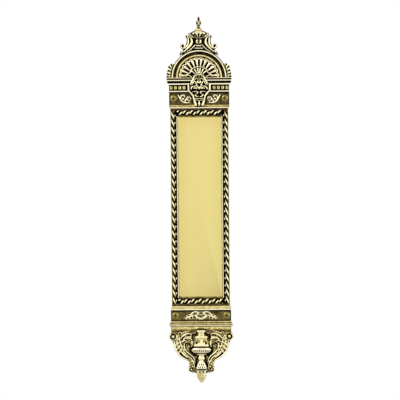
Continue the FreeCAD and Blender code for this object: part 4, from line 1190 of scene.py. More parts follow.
class FINGERPLATE_OT_arch_leaves(bpy.types.Operator):
    """Add the leaf at each side of the arch"""

    bl_idname = "fingerplate.arch_leaves"
    bl_label = "Arch leaves"

    def execute(self, context):
        carving = Relief(41.0, 160.5, 179.8)
        carving.field(EAR_OUTLINE, EAR_DEPTH, to_axis=False)
        for cut in EAR_CUTS:
            carving.emboss(curve_through(cut), EAR_CUT_HALF_WIDTHS, -EAR_CUT_SINK)
        # Painted shadow of the arch's outer wall, in the corner along the arch
        carving.darken(arc(0, ARCH_LOW, 35.3, 0, 34), 0.9, 0.7)
        add_casting(carving.mesh("arch_leaves", CARVING_BACK, EAR_GROUND, tone=0.65, contrast=0.6))
        return {"FINISHED"}


CONSOLE_OUTLINE = (
    (0, 155.2), (14.4, 155.2), (14.4, 146.6), (13.2, 144.0), (10.9, 141.4), (8.7, 138.2), (7.8, 134.0),
    (7.0, 130.2), (5.8, 126.8), (4.6, 125.2), (0, 125.0),
)
CONSOLE_SHADOW = tuple((x + 1.3 if x else 0, z) for x, z in CONSOLE_OUTLINE[3:])
# Raised work on the console, on the right: path, half widths and rise
CONSOLE_BANDS = (
    (
        (
            (13.0, 153.6), (13.0, 146.4), (11.9, 143.9), (9.4, 141.2), (7.4, 138.0), (6.6, 134.0),
            (5.9, 130.4), (4.8, 127.0),
        ),
        (1.6, 1.55, 1.4, 1.25, 1.2, 1.1), 2.0,
    ),
    (
        ((7.9, 143.8), (4.8, 144.2), (2.1, 144.0), (1.6, 142.6), (2.8, 141.4)), (0.8, 1.05, 1.1, 0.9),
        2.9,
    ),
    (((4.8, 140.8), (4.3, 139.1), (2.7, 137.9), (0.9, 137.6)), (0.6, 1.1, 1.1, 0.5), 2.4),
    (((0.0, 135.4), (2.4, 135.4), (4.8, 135.4)), (0.55, 0.6), 1.0),
    (((0.0, 132.4), (2.4, 133.3), (5.0, 133.4)), (0.5, 0.6), 1.3),
    (((5.0, 131.6), (4.3, 128.8), (3.7, 126.8)), (0.9, 1.3, 1.2), 2.3),
)
HEAD_OUTLINE = (
    (0, 165.6), (5.4, 165.4), (6.9, 163.0), (8.6, 158.8), (11.8, 153.6), (10.8, 150.6), (10.4, 147.6),
    (8.4, 146.8), (0, 146.4),
)
# Raised work of the lion's head, on the right: path and half widths
HEAD_BANDS = (
    (((0.0, 164.7), (2.8, 164.6), (5.0, 164.0)), (0.9, 0.85, 0.7)),
    (((5.6, 163.2), (7.2, 159.6), (9.0, 156.0), (11.0, 153.0)), (0.9, 1.2, 1.25, 0.8)),
    (((5.4, 158.6), (6.6, 155.8), (8.4, 153.2), (9.8, 151.8)), (0.5, 0.8, 0.8, 0.5)),
    (((4.9, 156.4), (3.6, 153.4), (2.1, 151.0), (1.2, 149.6)), (0.7, 0.85, 0.85, 0.7)),
    (((6.7, 150.9), (8.5, 149.8), (9.7, 148.4), (9.9, 146.8)), (0.6, 1.0, 1.1, 0.7)),
    (((0.0, 163.2), (0.0, 160.6), (0.0, 158.0)), (0.7, 0.7, 0.6)),
)
# Bosses of the lion's head, on the right: place, half width and half height
HEAD_DOMES = (
    (3.7, 162.1, 1.1, 0.9), (2.3, 160.0, 1.4, 0.9), (4.9, 159.4, 0.9, 1.2), (2.0, 155.6, 1.35, 1.8),
    (0.0, 155.2, 1.1, 1.7), (0.0, 148.3, 2.2, 1.6), (2.6, 149.4, 1.05, 0.95), (4.4, 148.6, 1.2, 1.05),
    (3.8, 151.2, 0.95, 0.9), (5.6, 150.3, 1.0, 0.95), (3.4, 147.7, 1.2, 0.8), (6.3, 148.2, 1.3, 0.9),
)
# Eyes, nostrils and mouth of the lion, on the right: half width, half height, sink and place
HEAD_PITS = (
    (0.9, 0.9, 1.0, ((2.1, 162.6),)), (0.8, 0.7, 1.2, ((3.5, 161.0),)),
    (0.9, 0.8, 1.4, ((1.2, 158.3),)), (1.3, 1.5, 1.6, ((0, 151.6),)),
)
HEAD_BAND_RISE = 2.0
HEAD_DOME_RISE = 1.8
# The leaf at the console's foot: place, half width and half height
CONSOLE_TONGUE = (0, 129.0, 1.5, 3.4)
CONSOLE_BACK = 3.0
CONSOLE_DEPTH = 7.2
HEAD_DEPTH = 10.3


class FINGERPLATE_OT_lion_mask(bpy.types.Operator):
    """Add the lion mask and the console under it"""

    bl_idname = "fingerplate.lion_mask"
    bl_label = "Lion mask and console"

    def head(self):
        carving = Relief(13.0, 144.0, 166.4)
        carving.field(HEAD_OUTLINE, HEAD_DEPTH)
        for path, half_widths in HEAD_BANDS:
            carving.band(curve_through(path), half_widths, HEAD_DEPTH, HEAD_BAND_RISE)
        for boss in HEAD_DOMES:
            carving.dome(*boss, HEAD_DEPTH, HEAD_DOME_RISE)
        carving.pits(HEAD_PITS)
        # Painted shade at the foot of the brow and down the bridge of the nose; the middle of the muzzle
        # below is darkened a little too
        carving.darken([(0, 163.4), (0, 158.4)], 1.0, 0.55)
        carving.darken([(0, 156.4), (0, 154.4)], 0.9, 0.3)
        back = CONSOLE_DEPTH - DEEP_ROOT
        return carving.mesh("lion_head", back, HEAD_DEPTH, tone=0.92, contrast=0.4, floor=0.08)

    def console(self):
        carving = Relief(16.0, 124.4, 156.0)
        carving.field(CONSOLE_SHADOW, FRIEZE_DEPTH + 0.1)
        carving.field(CONSOLE_OUTLINE, CONSOLE_DEPTH)
        carving.bands(CONSOLE_BANDS, CONSOLE_DEPTH)
        carving.dome(*CONSOLE_TONGUE, CONSOLE_DEPTH, 2.3)
        # The bar across the middle is polished more
        carving.darken([(0, 135.2), (4.6, 135.2)], 1.6, -0.25)
        return carving.mesh("console", CONSOLE_BACK, CONSOLE_DEPTH, tone=0.94, contrast=0.4, floor=0.1)

    def execute(self, context):
        add_casting(joined("lion_mask", [self.console(), self.head()]))
        return {"FINISHED"}


# Scrolls of the upper frieze, on the right: path, half widths and rise
SCROLL_BANDS = (
    (
        ((26.2, 139.8), (24.4, 136.2), (22.2, 133.0), (19.2, 130.8), (15.4, 130.2), (12.4, 130.6)),
        (0.9, 1.25, 1.2, 0.9), 2.0,
    ),
    (
        ((24.0, 136.0), (22.6, 138.2), (20.6, 139.6), (18.6, 139.2), (18.4, 137.4)),
        (0.7, 1.0, 1.2, 1.0), 1.9,
    ),
    (((17.6, 130.6), (17.2, 133.0), (15.8, 134.6)), 0.95, 1.8),
)
SCROLL_CURL = (13.0, 135.0)
# Bosses of the scrolls, on the right: place, half width, half height and rise
SCROLL_BOSSES = (
    (19.9, 134.9, 1.8, 1.5, 1.8), (22.4, 136.2, 0.9, 0.9, 1.6), (*SCROLL_CURL, 0.8, 0.8, 1.5),
)
# Hollows of the scrolls, on the right: half width, half height, sink and place
SCROLL_PITS = ((0.9, 0.8, 1.2, ((21.0, 137.2),)), (0.8, 0.7, 1.2, ((14.4, 132.6),)))
# Swag of the lower frieze, on the right: its garland, and path, half widths and rise of its arms
SWAG_GARLAND = ((-6.6, -135.4), (-4.4, -137.9), (0, -139.3), (4.4, -137.9), (6.6, -135.4))
SWAG_BANDS = (
    (SWAG_GARLAND, 1.2, 1.8),
    (
        ((2.6, -131.9), (5.4, -130.9), (8.6, -131.2), (11.0, -132.6), (13.0, -134.8)),
        (0.7, 1.1, 1.1, 0.9), 2.0,
    ),
    (((9.0, -134.8), (12.6, -136.2), (16.0, -138.0), (19.8, -138.8)), (0.9, 1.4, 1.3, 0.9), 1.9),
)
SWAG_BOW = ((-3.6, -133.0), (0, -134.5), (3.6, -133.0))
# Hollows of the swag, on the right: half width, half height, sink and places
SWAG_PITS = (
    (1.0, 0.8, 1.6, ((8.2, -134.0), (11.8, -138.2), (16.2, -139.4))), (2.9, 1.1, 2.2, ((0, -132.5),)),
)
# Berries lie this far outside the garland's line, away from a point on the axis at this height
BERRY_OFFSET = 1.35
BERRY_VIEW_HEIGHT = -133.6
BERRY_RADIUS = 0.7
SWAG_OUTLINE = (
    (0, -130.6), (5.0, -130.4), (9.0, -130.6), (12.2, -132.8), (16.0, -134.2), (19.8, -136.8),
    (20.2, -138.8), (14.6, -140.2), (9.4, -139.9), (6.0, -140.2), (0, -140.8),
)
# Leaves of the swag, on the right: root, middle and tip
SWAG_LEAVES = (
    ((12.4, -136.0), (14.4, -134.2), (16.4, -134.6)), ((15.6, -137.6), (17.6, -136.0), (19.4, -136.8)),
    ((10.2, -135.8), (10.8, -138.4), (9.6, -139.9)), ((13.8, -137.2), (14.6, -139.2), (13.4, -140.4)),
    ((17.2, -138.4), (18.2, -139.6), (17.2, -140.6)),
)


class FINGERPLATE_OT_frieze_scrolls(bpy.types.Operator):
    """Add the scrolls on the upper frieze and the swag on the lower one"""

    bl_idname = "fingerplate.frieze_scrolls"
    bl_label = "Frieze scrolls"

    def scrolls(self):
        carving = Relief(28.0, 128.5, 142.5)
        base = FRIEZE_DEPTH
        carving.bands(SCROLL_BANDS, base)
        carving.band(arc(*SCROLL_CURL, 2.4, -120, 190), (0.9, 1.05, 0.9), base, 1.9)
        for x, z, half_width, half_height, rise in SCROLL_BOSSES:
            carving.dome(x, z, half_width, half_height, base, rise)
        carving.pits(SCROLL_PITS)
        return carving.mesh("scrolls", base - ROOT, base, tone=0.86, contrast=0.4)

    def swag(self):
        carving = Relief(21.5, -142.0, -129.8)
        base = FRIEZE_DEPTH
        carving.field(SWAG_OUTLINE, base + 0.8)
        carving.bands(SWAG_BANDS, base)
        # Berries along the garland's lower edge
        for x, z in curve_through(SWAG_GARLAND, 3)[6:]:
            away = Vector((x, z - BERRY_VIEW_HEIGHT)).normalized() * BERRY_OFFSET
            carving.dome(x + away.x, z + away.y, BERRY_RADIUS, BERRY_RADIUS, base, 2.0)
        carving.band(arc(6.0, -133.2, 1.9, 60, 330), (0.8, 1.0, 0.7), base, 1.9)
        for leaf in SWAG_LEAVES:
            carving.leaf(leaf, 1.2, base, 2.0)
        carving.pits(SWAG_PITS)
        carving.band(curve_through(SWAG_BOW), 0.75, base, 1.9)
        carving.band([(0, -131.2), (3.4, -131.2)], 0.55, base, 1.7)
        return carving.mesh("swag", base - ROOT, base, tone=0.86, contrast=0.4)

    def execute(self, context):
        add_casting(joined("frieze_scrolls", [self.scrolls(), self.swag()]))
        return {"FINISHED"}


CREST_FIELD = (
    (0, 214.0), (13.6, 214.0), (15.0, 210.6), (15.0, 206.0), (16.4, 201.6), (19.0, 198.4),
    (20.4, 195.4), (21.4, 192.0), (20.6, 187.4), (0, 187.0),
)
CREST_FOOT = (
    (0, 203.2), (3.9, 203.2), (4.4, 201.4), (6.2, 199.0), (10.0, 196.6), (15.6, 194.4), (21.0, 189.0),
    (0, 188.0),
)
# Urn, lid and finial of the crest, from the tip down: height and radius
CREST_URN = (
    (237.4, 0.4), (236.2, 1.1), (234.8, 1.5), (233.4, 1.0), (232.7, 1.6), (231.4, 2.8), (229.6, 3.2),
    (227.8, 2.5), (226.8, 1.4), (226.2, 2.3), (225.4, 2.3), (223.9, 1.3), (223.3, 2.8), (221.6, 4.0),
    (220.4, 3.6), (219.9, 5.4), (218.4, 8.6), (217.2, 11.0), (216.7, 13.0), (215.9, 12.9),
    (214.4, 11.8), (212.4, 9.2), (210.9, 6.2), (210.1, 3.8), (209.5, 2.7), (208.4, 3.5), (206.6, 3.8),
    (204.8, 3.4), (203.4, 3.4), (202.8, 4.3),
)
# Cuts between the petals of the urn's bowl, on the right
CREST_PETAL_CUTS = (
    ((0.0, 211.2), (0.0, 213.6), (0.0, 215.8)), ((2.0, 211.4), (3.2, 213.6), (4.7, 215.8)),
    ((4.2, 211.8), (6.4, 213.8), (9.2, 215.9)),
)
# Scrolls and leaves beside the crest's urn, on the right: path, half widths and rise
CREST_BANDS = (
    (
        (
            (15.8, 211.6), (16.4, 213.4), (15.2, 214.5), (13.8, 213.3), (13.1, 210.6), (12.9, 207.6),
            (13.1, 204.6), (14.2, 201.6), (16.6, 199.3), (20.2, 198.4), (22.2, 200.7), (21.2, 203.3),
            (19.3, 203.0),
        ),
        (0.8, 0.9, 1.15, 1.3, 1.3, 1.1, 0.9), 2.8,
    ),
    (
        (
            (11.6, 213.0), (9.6, 210.6), (8.6, 207.4), (8.9, 204.2), (10.6, 201.6), (12.6, 199.4),
            (15.4, 196.4), (18.0, 194.0),
        ),
        (0.8, 1.5, 1.8, 1.8, 1.5, 1.2), 2.4,
    ),
    (((18.4, 194.8), (21.2, 193.0), (23.6, 189.8)), (1.0, 1.6, 0.6), 2.4),
    (((4.2, 202.6), (6.2, 200.2), (10.0, 196.4), (14.4, 193.9)), (0.9, 1.1, 1.0), 3.0),
)
# Sunk ground inside the curls of the scrolls: place and radius
CREST_CURL_GROUNDS = ((20.3, 201.2, 1.9), (15.1, 212.5, 1.3))
# Treads of the stepped foot: height and reach
CREST_TREADS = ((201.3, 2.6), (198.1, 4.6), (195.0, 8.6))
# Cuts across the finial, the urn's stem and the foot: height, reach and sink
CREST_TURNED_CUTS = (
    (226.4, 1.4, 2.0), (223.4, 1.4, 1.3), (209.6, 2.6, 1.2), (203.4, 4.4, 1.5), (199.7, 4.6, 1.8),
    (196.5, 8.0, 1.8),
)
# Patina beside the foot and along the lid's edge, and painted shade at the finial's sides, on the right
CREST_GAPS = (
    (((6.6, 203.4), (9.0, 200.2), (12.4, 196.9), (16.0, 194.6)), 1.2),
    (((22.0, 193.4), (23.2, 191.0), (23.4, 189.6)), 0.8),
    (((15.3, 213.4), (15.1, 212.8), (14.8, 212.0)), 0.8),
    (((3.8, 221.2), (6.4, 219.4), (11.0, 217.6)), 0.8),
    (((3.4, 231.6), (3.6, 229.6), (2.8, 227.4)), 1.3),
    (((1.7, 236.4), (1.9, 234.6), (1.4, 233.0)), 0.9),
)
CREST_LID = ((4.6, 218.6), (8.0, 217.6), (12.0, 216.4))
# Hollows of the finial, on the right: half width, half height, sink and place
FINIAL_PITS = ((0.8, 1.2, 1.2, ((0, 235.0),)), (0.9, 1.6, 1.7, ((1.7, 229.3),)))
CREST_GROUND = 3.6
CREST_FOOT_DEPTH = 4.6
URN_STILT = 4.0
URN_DEPTH = 9.4


class FINGERPLATE_OT_crest(bpy.types.Operator):
    """Add the crest: a covered urn between two scrolls"""

    bl_idname = "fingerplate.crest"
    bl_label = "Crest"

    def execute(self, context):
        carving = Relief(26.0, 187.0, 237.6)
        carving.field(CREST_FIELD, CREST_GROUND)
        carving.field(CREST_FOOT, CREST_FOOT_DEPTH)
        for z, reach in CREST_TREADS:
            carving.band([(0, z), (reach, z)], 0.95, CREST_FOOT_DEPTH, 1.3, flat_section)
        carving.bands(CREST_BANDS, CREST_GROUND)
        for x, z, radius in CREST_CURL_GROUNDS:
            carving.dome(x, z, radius, radius, CREST_GROUND - 0.6, 0.5)
        carving.turned(CREST_URN, URN_STILT, URN_DEPTH)
        for cut in CREST_PETAL_CUTS:
            carving.emboss(curve_through(cut), (0.7, 1.0, 1.2), -3.0)
        carving.emboss(curve_through(CREST_LID), 0.6, -1.2)
        carving.pits(FINIAL_PITS)
        for z, reach, sink in CREST_TURNED_CUTS:
            carving.emboss([(0, z), (reach, z)], 0.8, -sink)
        # The urn's stem is dull
        carving.darken([(0, 208.8), (0, 205.2)], 1.6, 0.5)
        carving.darken_gaps(CREST_GAPS)
        # The finial is out of reach, and duller
        carving.darken([(0, 237.6), (0, 225.0)], 4.0, 0.15)
        add_casting(carving.mesh("crest", CARVING_BACK, CREST_GROUND, tone=0.7, contrast=0.6))
        return {"FINISHED"}


PENDANT_FIELD = (
    (0, -151.2), (37.4, -151.2), (37.5, -156.6), (39.4, -158.4), (40.3, -161.8), (39.2, -165.2),
    (36.2, -167.2), (34.9, -171.0), (33.3, -177.0), (30.8, -182.4), (27.0, -186.4), (22.6, -189.4),
    (18.6, -191.6), (15.6, -194.8), (14.9, -198.2), (16.0, -200.4), (16.3, -203.4), (14.6, -206.2),
    (10.8, -207.0), (0, -207.4),
)
# Urn of the pendant, from its rim down to the drop: height and radius
PENDANT_URN = (
    (-153.7, 5.2), (-154.2, 6.0), (-156.2, 5.4), (-157.4, 3.9), (-158.8, 3.5), (-160.0, 4.3),
    (-160.9, 7.4), (-161.8, 8.8), (-164.0, 8.6), (-165.0, 7.3), (-167.0, 7.8), (-172.0, 9.2),
    (-172.5, 9.9), (-173.9, 9.9), (-174.4, 8.9), (-175.6, 9.2), (-176.4, 11.6), (-178.2, 12.8),
    (-180.0, 12.2), (-181.8, 10.2), (-183.1, 7.4), (-183.4, 5.9), (-184.6, 5.9), (-185.2, 4.4),
    (-186.4, 2.9), (-187.6, 3.9), (-189.2, 4.5), (-190.6, 3.8), (-191.8, 2.7), (-192.8, 2.7),
    (-194.8, 4.3), (-198.0, 5.7), (-201.4, 6.9), (-202.5, 7.4), (-202.9, 8.0), (-204.4, 8.0),
    (-204.9, 7.4), (-207.4, 7.2), (-208.1, 5.5), (-209.2, 5.9), (-211.6, 5.7), (-214.8, 4.3),
    (-217.6, 2.5), (-219.5, 0.6),
)
# Scrolls and leaves beside the pendant's urn, on the right: path, half widths and rise
PENDANT_BANDS = (
    (
        (
            (33.8, -167.2), (33.4, -172.4), (31.8, -177.8), (29.2, -182.6), (25.6, -186.2),
            (21.4, -189.0), (17.4, -191.4), (15.2, -194.6),
        ),
        (0.9, 1.2, 1.2, 1.1, 0.9), 2.6,
    ),
    (((27.6, -162.4), (26.4, -168.6), (24.6, -174.2), (22.0, -178.8)), (0.9, 1.2, 1.1, 0.9), 3.0),
    (
        (
            (25.8, -164.2), (23.6, -161.2), (20.2, -159.0), (16.6, -157.8), (13.4, -158.3),
            (12.3, -160.3),
        ),
        (0.7, 1.2, 1.4, 1.5, 1.2, 0.8), 3.2,
    ),
    (((22.4, -165.0), (18.6, -163.4), (14.6, -163.6), (11.6, -165.6)), (0.9, 1.5, 1.5, 0.7), 2.4),
    (((24.6, -168.4), (21.6, -166.8), (19.4, -167.2)), (0.9, 1.3, 0.7), 2.2),
    (
        ((21.2, -174.6), (20.2, -178.4), (17.2, -181.6), (13.6, -184.4), (10.4, -187.2), (8.6, -190.4)),
        (1.1, 1.25, 1.2, 1.1, 0.9), 3.2,
    ),
    (
        ((22.6, -179.2), (19.8, -183.0), (16.0, -186.4), (12.8, -189.2), (11.4, -191.8)),
        (0.8, 0.9, 0.9), 2.6,
    ),
    (((8.6, -190.4), (9.7, -194.2), (9.1, -198.6), (9.3, -203.2)), (0.8, 0.9, 0.75, 0.6), 2.6),
)
# Lobes of the leaf along the pendant's side, on the right: root, middle and tip
PENDANT_LOBES = (
    ((28.0, -164.6), (30.6, -166.2), (33.0, -169.4)), ((27.4, -168.4), (30.0, -170.6), (32.4, -174.6)),
    ((26.0, -172.6), (28.6, -175.2), (30.8, -179.2)), ((24.2, -176.6), (26.4, -179.4), (28.0, -183.0)),
)
# Deep gaps of the pendant that keep their patina, on the right: path and half width
PENDANT_GAPS = (
    (((13.6, -180.0), (10.8, -182.4), (7.8, -185.4)), 1.6),
    (((26.2, -182.6), (21.6, -186.6), (17.0, -189.8)), 1.0),
    (((4.8, -185.4), (5.6, -190.8), (6.3, -195.0), (7.7, -199.0)), 1.3),
    (((9.8, -158.8), (10.7, -163.0), (10.0, -166.4)), 1.1),
    (((0.0, -152.8), (3.0, -152.8), (6.4, -153.0)), 0.9),
    (((5.4, -157.2), (6.6, -158.4), (8.0, -159.6)), 1.2),
    (((30.8, -165.4), (32.2, -166.4), (33.6, -168.0)), 0.8),
    (((10.6, -175.2), (13.2, -176.6), (15.0, -178.2)), 1.0),
    (((10.4, -196.2), (11.6, -197.6), (12.6, -198.8)), 0.8),
    (((18.8, -161.2), (16.6, -160.6), (14.8, -161.0)), 0.8),
)
# Low leaves that fill the pendant between its scrolls, on the right: path and half widths
PENDANT_FILLING = (
    (((25.2, -180.2), (21.6, -184.0), (17.4, -187.6)), (1.2, 1.8, 1.4)),
    (((11.6, -167.8), (11.8, -171.4), (12.6, -174.4)), (1.0, 1.5, 1.0)),
    (((21.4, -170.6), (22.2, -174.0), (21.4, -177.6)), (1.2, 1.6, 1.0)),
    (((19.6, -161.4), (16.0, -161.0), (13.2, -162.4)), (1.2, 1.6, 1.0)),
    (((29.6, -160.6), (30.6, -163.6), (31.4, -166.0)), (1.2, 1.6, 1.2)),
    (((23.4, -157.4), (20.0, -156.0), (15.0, -155.0)), (1.0, 1.4, 0.8)),
    (((11.6, -196.0), (11.4, -198.2), (11.0, -200.0)), (0.9, 1.1, 0.8)),
)
PENDANT_GROUND = 3.4
PENDANT_URN_STILT = 4.6
PENDANT_URN_DEPTH = 10.6
VOLUTE = (16.6, -172.4)
VOLUTE_EYE = (15.4, -173.4)
ROSETTE = (35.2, -161.8)
SMALL_ROSETTE = (12.7, -202.9)
# Hooks that curl off the scrolls, on the right: centre, radius and angles of an arc, and half widths
PENDANT_HOOKS = (
    ((*ROSETTE, 4.35, 150, 425), (0.55, 0.7, 0.7)), ((26.4, -158.2, 2.0, -30, 220), (0.6, 0.85, 0.7)),
    ((12.2, -194.4, 2.0, 10, 200), (0.6, 0.8, 0.6)), ((*SMALL_ROSETTE, 3.1, 200, 470), (0.5, 0.6, 0.5)),
)
# Dark rings round the rosettes' bosses and in the volute: arc, half width and amount
PENDANT_RINGS = (
    ((*ROSETTE, 3.15, 0, 360), 0.95, 0.8), ((*SMALL_ROSETTE, 2.25, 0, 360), 0.75, 0.8),
    ((16.7, -172.4, 3.3, -30, 240), 1.3, 0.95),
)
# Bosses and hollows of the urn, pits of its foot, its collar and the drop, and hollows among the leaves,
# on the right: half width, half height, sink (below zero for a boss) and places
PENDANT_PITS = (
    (1.5, 1.4, -1.2, ((0.0, -162.8), (3.4, -162.8), (6.8, -162.8))), (1.4, 2.6, 0.6, ((2.4, -168.4),)),
    (1.6, 2.2, 0.6, ((6.0, -169.6),)),
    (0.85, 0.85, 2.2, ((0.0, -197.2), (2.7, -197.2), (1.4, -200.2), (4.2, -200.2))),
    (1.1, 0.9, 3.0, ((2.0, -206.3), (6.3, -206.3))),
    (0.8, 0.8, 0.5, ((1.6, -210.4), (4.3, -210.8), (0.0, -212.8), (2.8, -213.2), (1.3, -215.4))),
    (
        0.85, 0.85, 1.5,
        (
            (25.7, -166.4), (28.6, -167.6), (23.2, -172.2), (22.6, -176.2), (27.6, -178.6),
            (19.8, -180.4), (24.4, -164.6), (20.4, -169.6), (18.4, -184.6),
        ),
    ),
)
# Cuts across the urn: height, reach, half width and sink
PENDANT_URN_CUTS = (
    (-175.0, 8.0, 0.85, 1.6), (-183.2, 8.0, 0.7, 1.6), (-204.6, 8.0, 0.5, 1.6), (-202.7, 7.0, 0.7, 2.8),
)
# Where the short cuts round the urn's bowl start
BOWL_CUTS = (0.0, 2.6, 5.2, 7.8, 10.2)


class FINGERPLATE_OT_pendant(bpy.types.Operator):
    """Add the pendant: an urn among scrolls, with a drop at its foot"""

    bl_idname = "fingerplate.pendant"
    bl_label = "Pendant"

    def scrolls(self, carving):
        base = PENDANT_GROUND
        for path, half_widths in PENDANT_FILLING:
            carving.band(curve_through(path), half_widths, base, 1.1, flat_section)
        for lobe in PENDANT_LOBES:
            carving.leaf(lobe, 2.2, base, 2.6)
        carving.bands(PENDANT_BANDS, base)
        for hook, half_widths in PENDANT_HOOKS:
            carving.band(arc(*hook), half_widths, base, 2.6)
        carving.band(spiral(*VOLUTE, 5.0, -35, turns=1.2), (1.0, 0.9, 0.7), base, 3.0)
        carving.dome(*VOLUTE_EYE, 1.2, 1.2, base, 3.2)
        carving.dome(*ROSETTE, 2.3, 2.3, base, 3.8)
        carving.pit(*ROSETTE, 0.6, 0.6, 1.4)
        carving.dome(*SMALL_ROSETTE, 1.6, 1.6, base, 3.4)
        carving.pit(*SMALL_ROSETTE, 0.5, 0.5, 1.2)

    def urn(self, carving):
        carving.turned(PENDANT_URN, PENDANT_URN_STILT, PENDANT_URN_DEPTH)
        carving.pits(PENDANT_PITS)
        # The urn's cover is darkened at each side
        carving.darken([(4.6, -166.4), (6.2, -170.4)], (2.0, 2.6), 0.5)
        for x in BOWL_CUTS:
            carving.emboss([(x, -178.6), (0.8 * x, -181.4)], (0.5, 0.4), -1.2)
        for z, reach, half_width, sink in PENDANT_URN_CUTS:
            carving.emboss([(0, z), (reach, z)], half_width, -sink)

    def execute(self, context):
        carving = Relief(40.8, -219.6, -151.0)
        carving.field(PENDANT_FIELD, PENDANT_GROUND)
        self.scrolls(carving)
        self.urn(carving)
        carving.darken_gaps(PENDANT_GAPS)
        for ring, half_width, amount in PENDANT_RINGS:
            carving.darken(arc(*ring), half_width, amount)
        # The field under the base, over the scrolls, is darkened
        carving.darken([(9.0, -155.2), (36.0, -155.2)], 2.4, 0.24)
        # The urn and the drop are a little duller than the scrolls beside them
        carving.darken([(0, -156), (0, -204)], 13.0, 0.08)
        carving.darken([(0, -209), (0, -219)], 7.0, 0.14)
        mesh = carving.mesh("pendant", CARVING_BACK, PENDANT_GROUND, tone=0.9, contrast=0.4, floor=0.62)
        add_casting(mesh)
        return {"FINISHED"}


# A screw from the top of its head to its point: radius, depth and wear
SCREW_LINES = (
    (0.0, 6.3, 0.9), (1.4, 6.16, 0.9), (2.8, 5.72, 0.9), (3.7, 5.26, 0.85), (4.1, 4.98, 0.5),
    (4.12, 4.86, 0.3), (2.1, 2.95, 0.5), (2.1, 0.0, 0.6), (1.65, -0.2, 0.6), (1.65, -15.0, 0.6),
    (0.9, -17.6, 0.6), (0.05, -20.0, 0.6),
)
SCREW_STEPS = 40
THREAD_START = -1.0
THREAD_END = -18.6
THREAD_CORE = 1.6
THREAD_RISE = 0.42
THREAD_SINK = 0.1
THREAD_HALF_WIDTH = 0.4
# The thread runs out over this length before the screw's point
THREAD_RUN_OUT = 4.5
THREAD_STEPS_IN_TURN = 24
THREAD_WEAR = [0.45, 0.9, 0.45]
RECESS_HALF_LENGTH = 2.3
RECESS_HALF_WIDTH = 0.55
# The recess at its floor and over the head: depth and share of its size
RECESS_ENDS = ((4.4, 0.72), (7.5, 1.25))


class FINGERPLATE_OT_screws(bpy.types.Operator):
    """Add the four screws, with their threads"""

    bl_idname = "fingerplate.screws"
    bl_label = "Screws"

    def turned(self):
        rings = []
        wear = []
        for i in range(SCREW_STEPS + 1):
            angle = 2 * math.pi * i / SCREW_STEPS
            across = math.cos(angle)
            rise = math.sin(angle)
            rings.append([(r * across, depth, r * rise) for r, depth, _ in SCREW_LINES])
            wear += [polish for _, _, polish in SCREW_LINES]
        points = [point for ring in rings for point in ring]
        count = len(SCREW_LINES)
        faces = []
        for i in range(SCREW_STEPS):
            for j in range(count - 1):
                low = i * count + j
                faces.append((low, low + 1, low + 1 + count, low + count))
        return closed_mesh("turned", points, faces, wear)

    def thread(self, pitch):
        """A ridge that winds along the core, with a three-cornered section."""
        turns = (THREAD_START - THREAD_END) / pitch
        steps = round(turns * THREAD_STEPS_IN_TURN)
        point = SCREW_LINES[-1][1]
        rings = []
        for i in range(steps + 1):
            share = i / steps
            angle = 2 * math.pi * turns * share
            depth = THREAD_START + (THREAD_END - THREAD_START) * share
            taper = min(1.0, 4 * share, (depth - point) / THREAD_RUN_OUT)
            foot = THREAD_CORE * taper - THREAD_SINK
            crest = THREAD_CORE * taper + THREAD_RISE
            section = ((foot, THREAD_HALF_WIDTH), (crest, 0.0), (foot, -THREAD_HALF_WIDTH))
            rings.append([(r * math.cos(angle), depth + d, r * math.sin(angle)) for r, d in section])
        return rings_mesh("thread", rings, THREAD_WEAR * len(rings))

    def recessed(self, mesh):
        """Cuts the cross recess into the head."""
        head = bpy.data.objects.new("head", mesh)
        cutters = []
        arm = (RECESS_HALF_LENGTH, RECESS_HALF_WIDTH)
        for half_x, half_z in (arm, arm[::-1]):
            rings = []
            for depth, share in RECESS_ENDS:
                x = half_x * share
                z = half_z * share
                rings.append([(-x, depth, -z), (x, depth, -z), (x, depth, z), (-x, depth, z)])
            cutter = bpy.data.objects.new("cutter", rings_mesh("cutter", rings, [0.0] * 8))
            cutters.append(cutter)
        for thing in (head, *cutters):
            bpy.context.scene.collection.objects.link(thing)
        for cutter in cutters:
            modifier = head.modifiers.new("recess", "BOOLEAN")
            modifier.object = cutter
            modifier.solver = "EXACT"
        depsgraph = bpy.context.evaluated_depsgraph_get()
        plain = bpy.data.meshes.new_from_object(head.evaluated_get(depsgraph), depsgraph=depsgraph)
        for thing in (head, *cutters):
            bpy.data.objects.remove(thing)
        return plain

    def execute(self, context):
        sizes = context.scene.plate_sizes
        screw = joined("screw", [self.recessed(self.turned()), self.thread(in_mm(sizes.thread_pitch))])
        values = {
            "Width": SCREW_SPACING["spacing_x_mm"] * MM,
            "Height": SCREW_SPACING["spacing_y_mm"] * MM,
        }
        screws = grown("screws", screw, corners_tree(), values, "turned_brass")
        add_piece(screws, "turned_brass", SCREW_NODE)
        return {"FINISHED"}


PHOTO_WIDTH = 0.5
LENS = 300.0
SENSOR = 36.0
AIM = Vector((-0.06 * MM, 0.0, 8.6 * MM))
ROLL_DEG = 0.5
FLOOR_DROP = 0.25
FLOOR_HALF_WIDTH = 1.6
# Name, place, width and power of each lamp
LAMPS = (
    ("key", (-1.7, -1.3, 1.7), 1.2, 18.0),
    ("fill", (1.9, -1.2, 0.6), 1.2, 9.0),
    ("rear", (0.3, 1.2, 1.4), 1.0, 5.0),
)
WORLD_LIGHT = 0.55


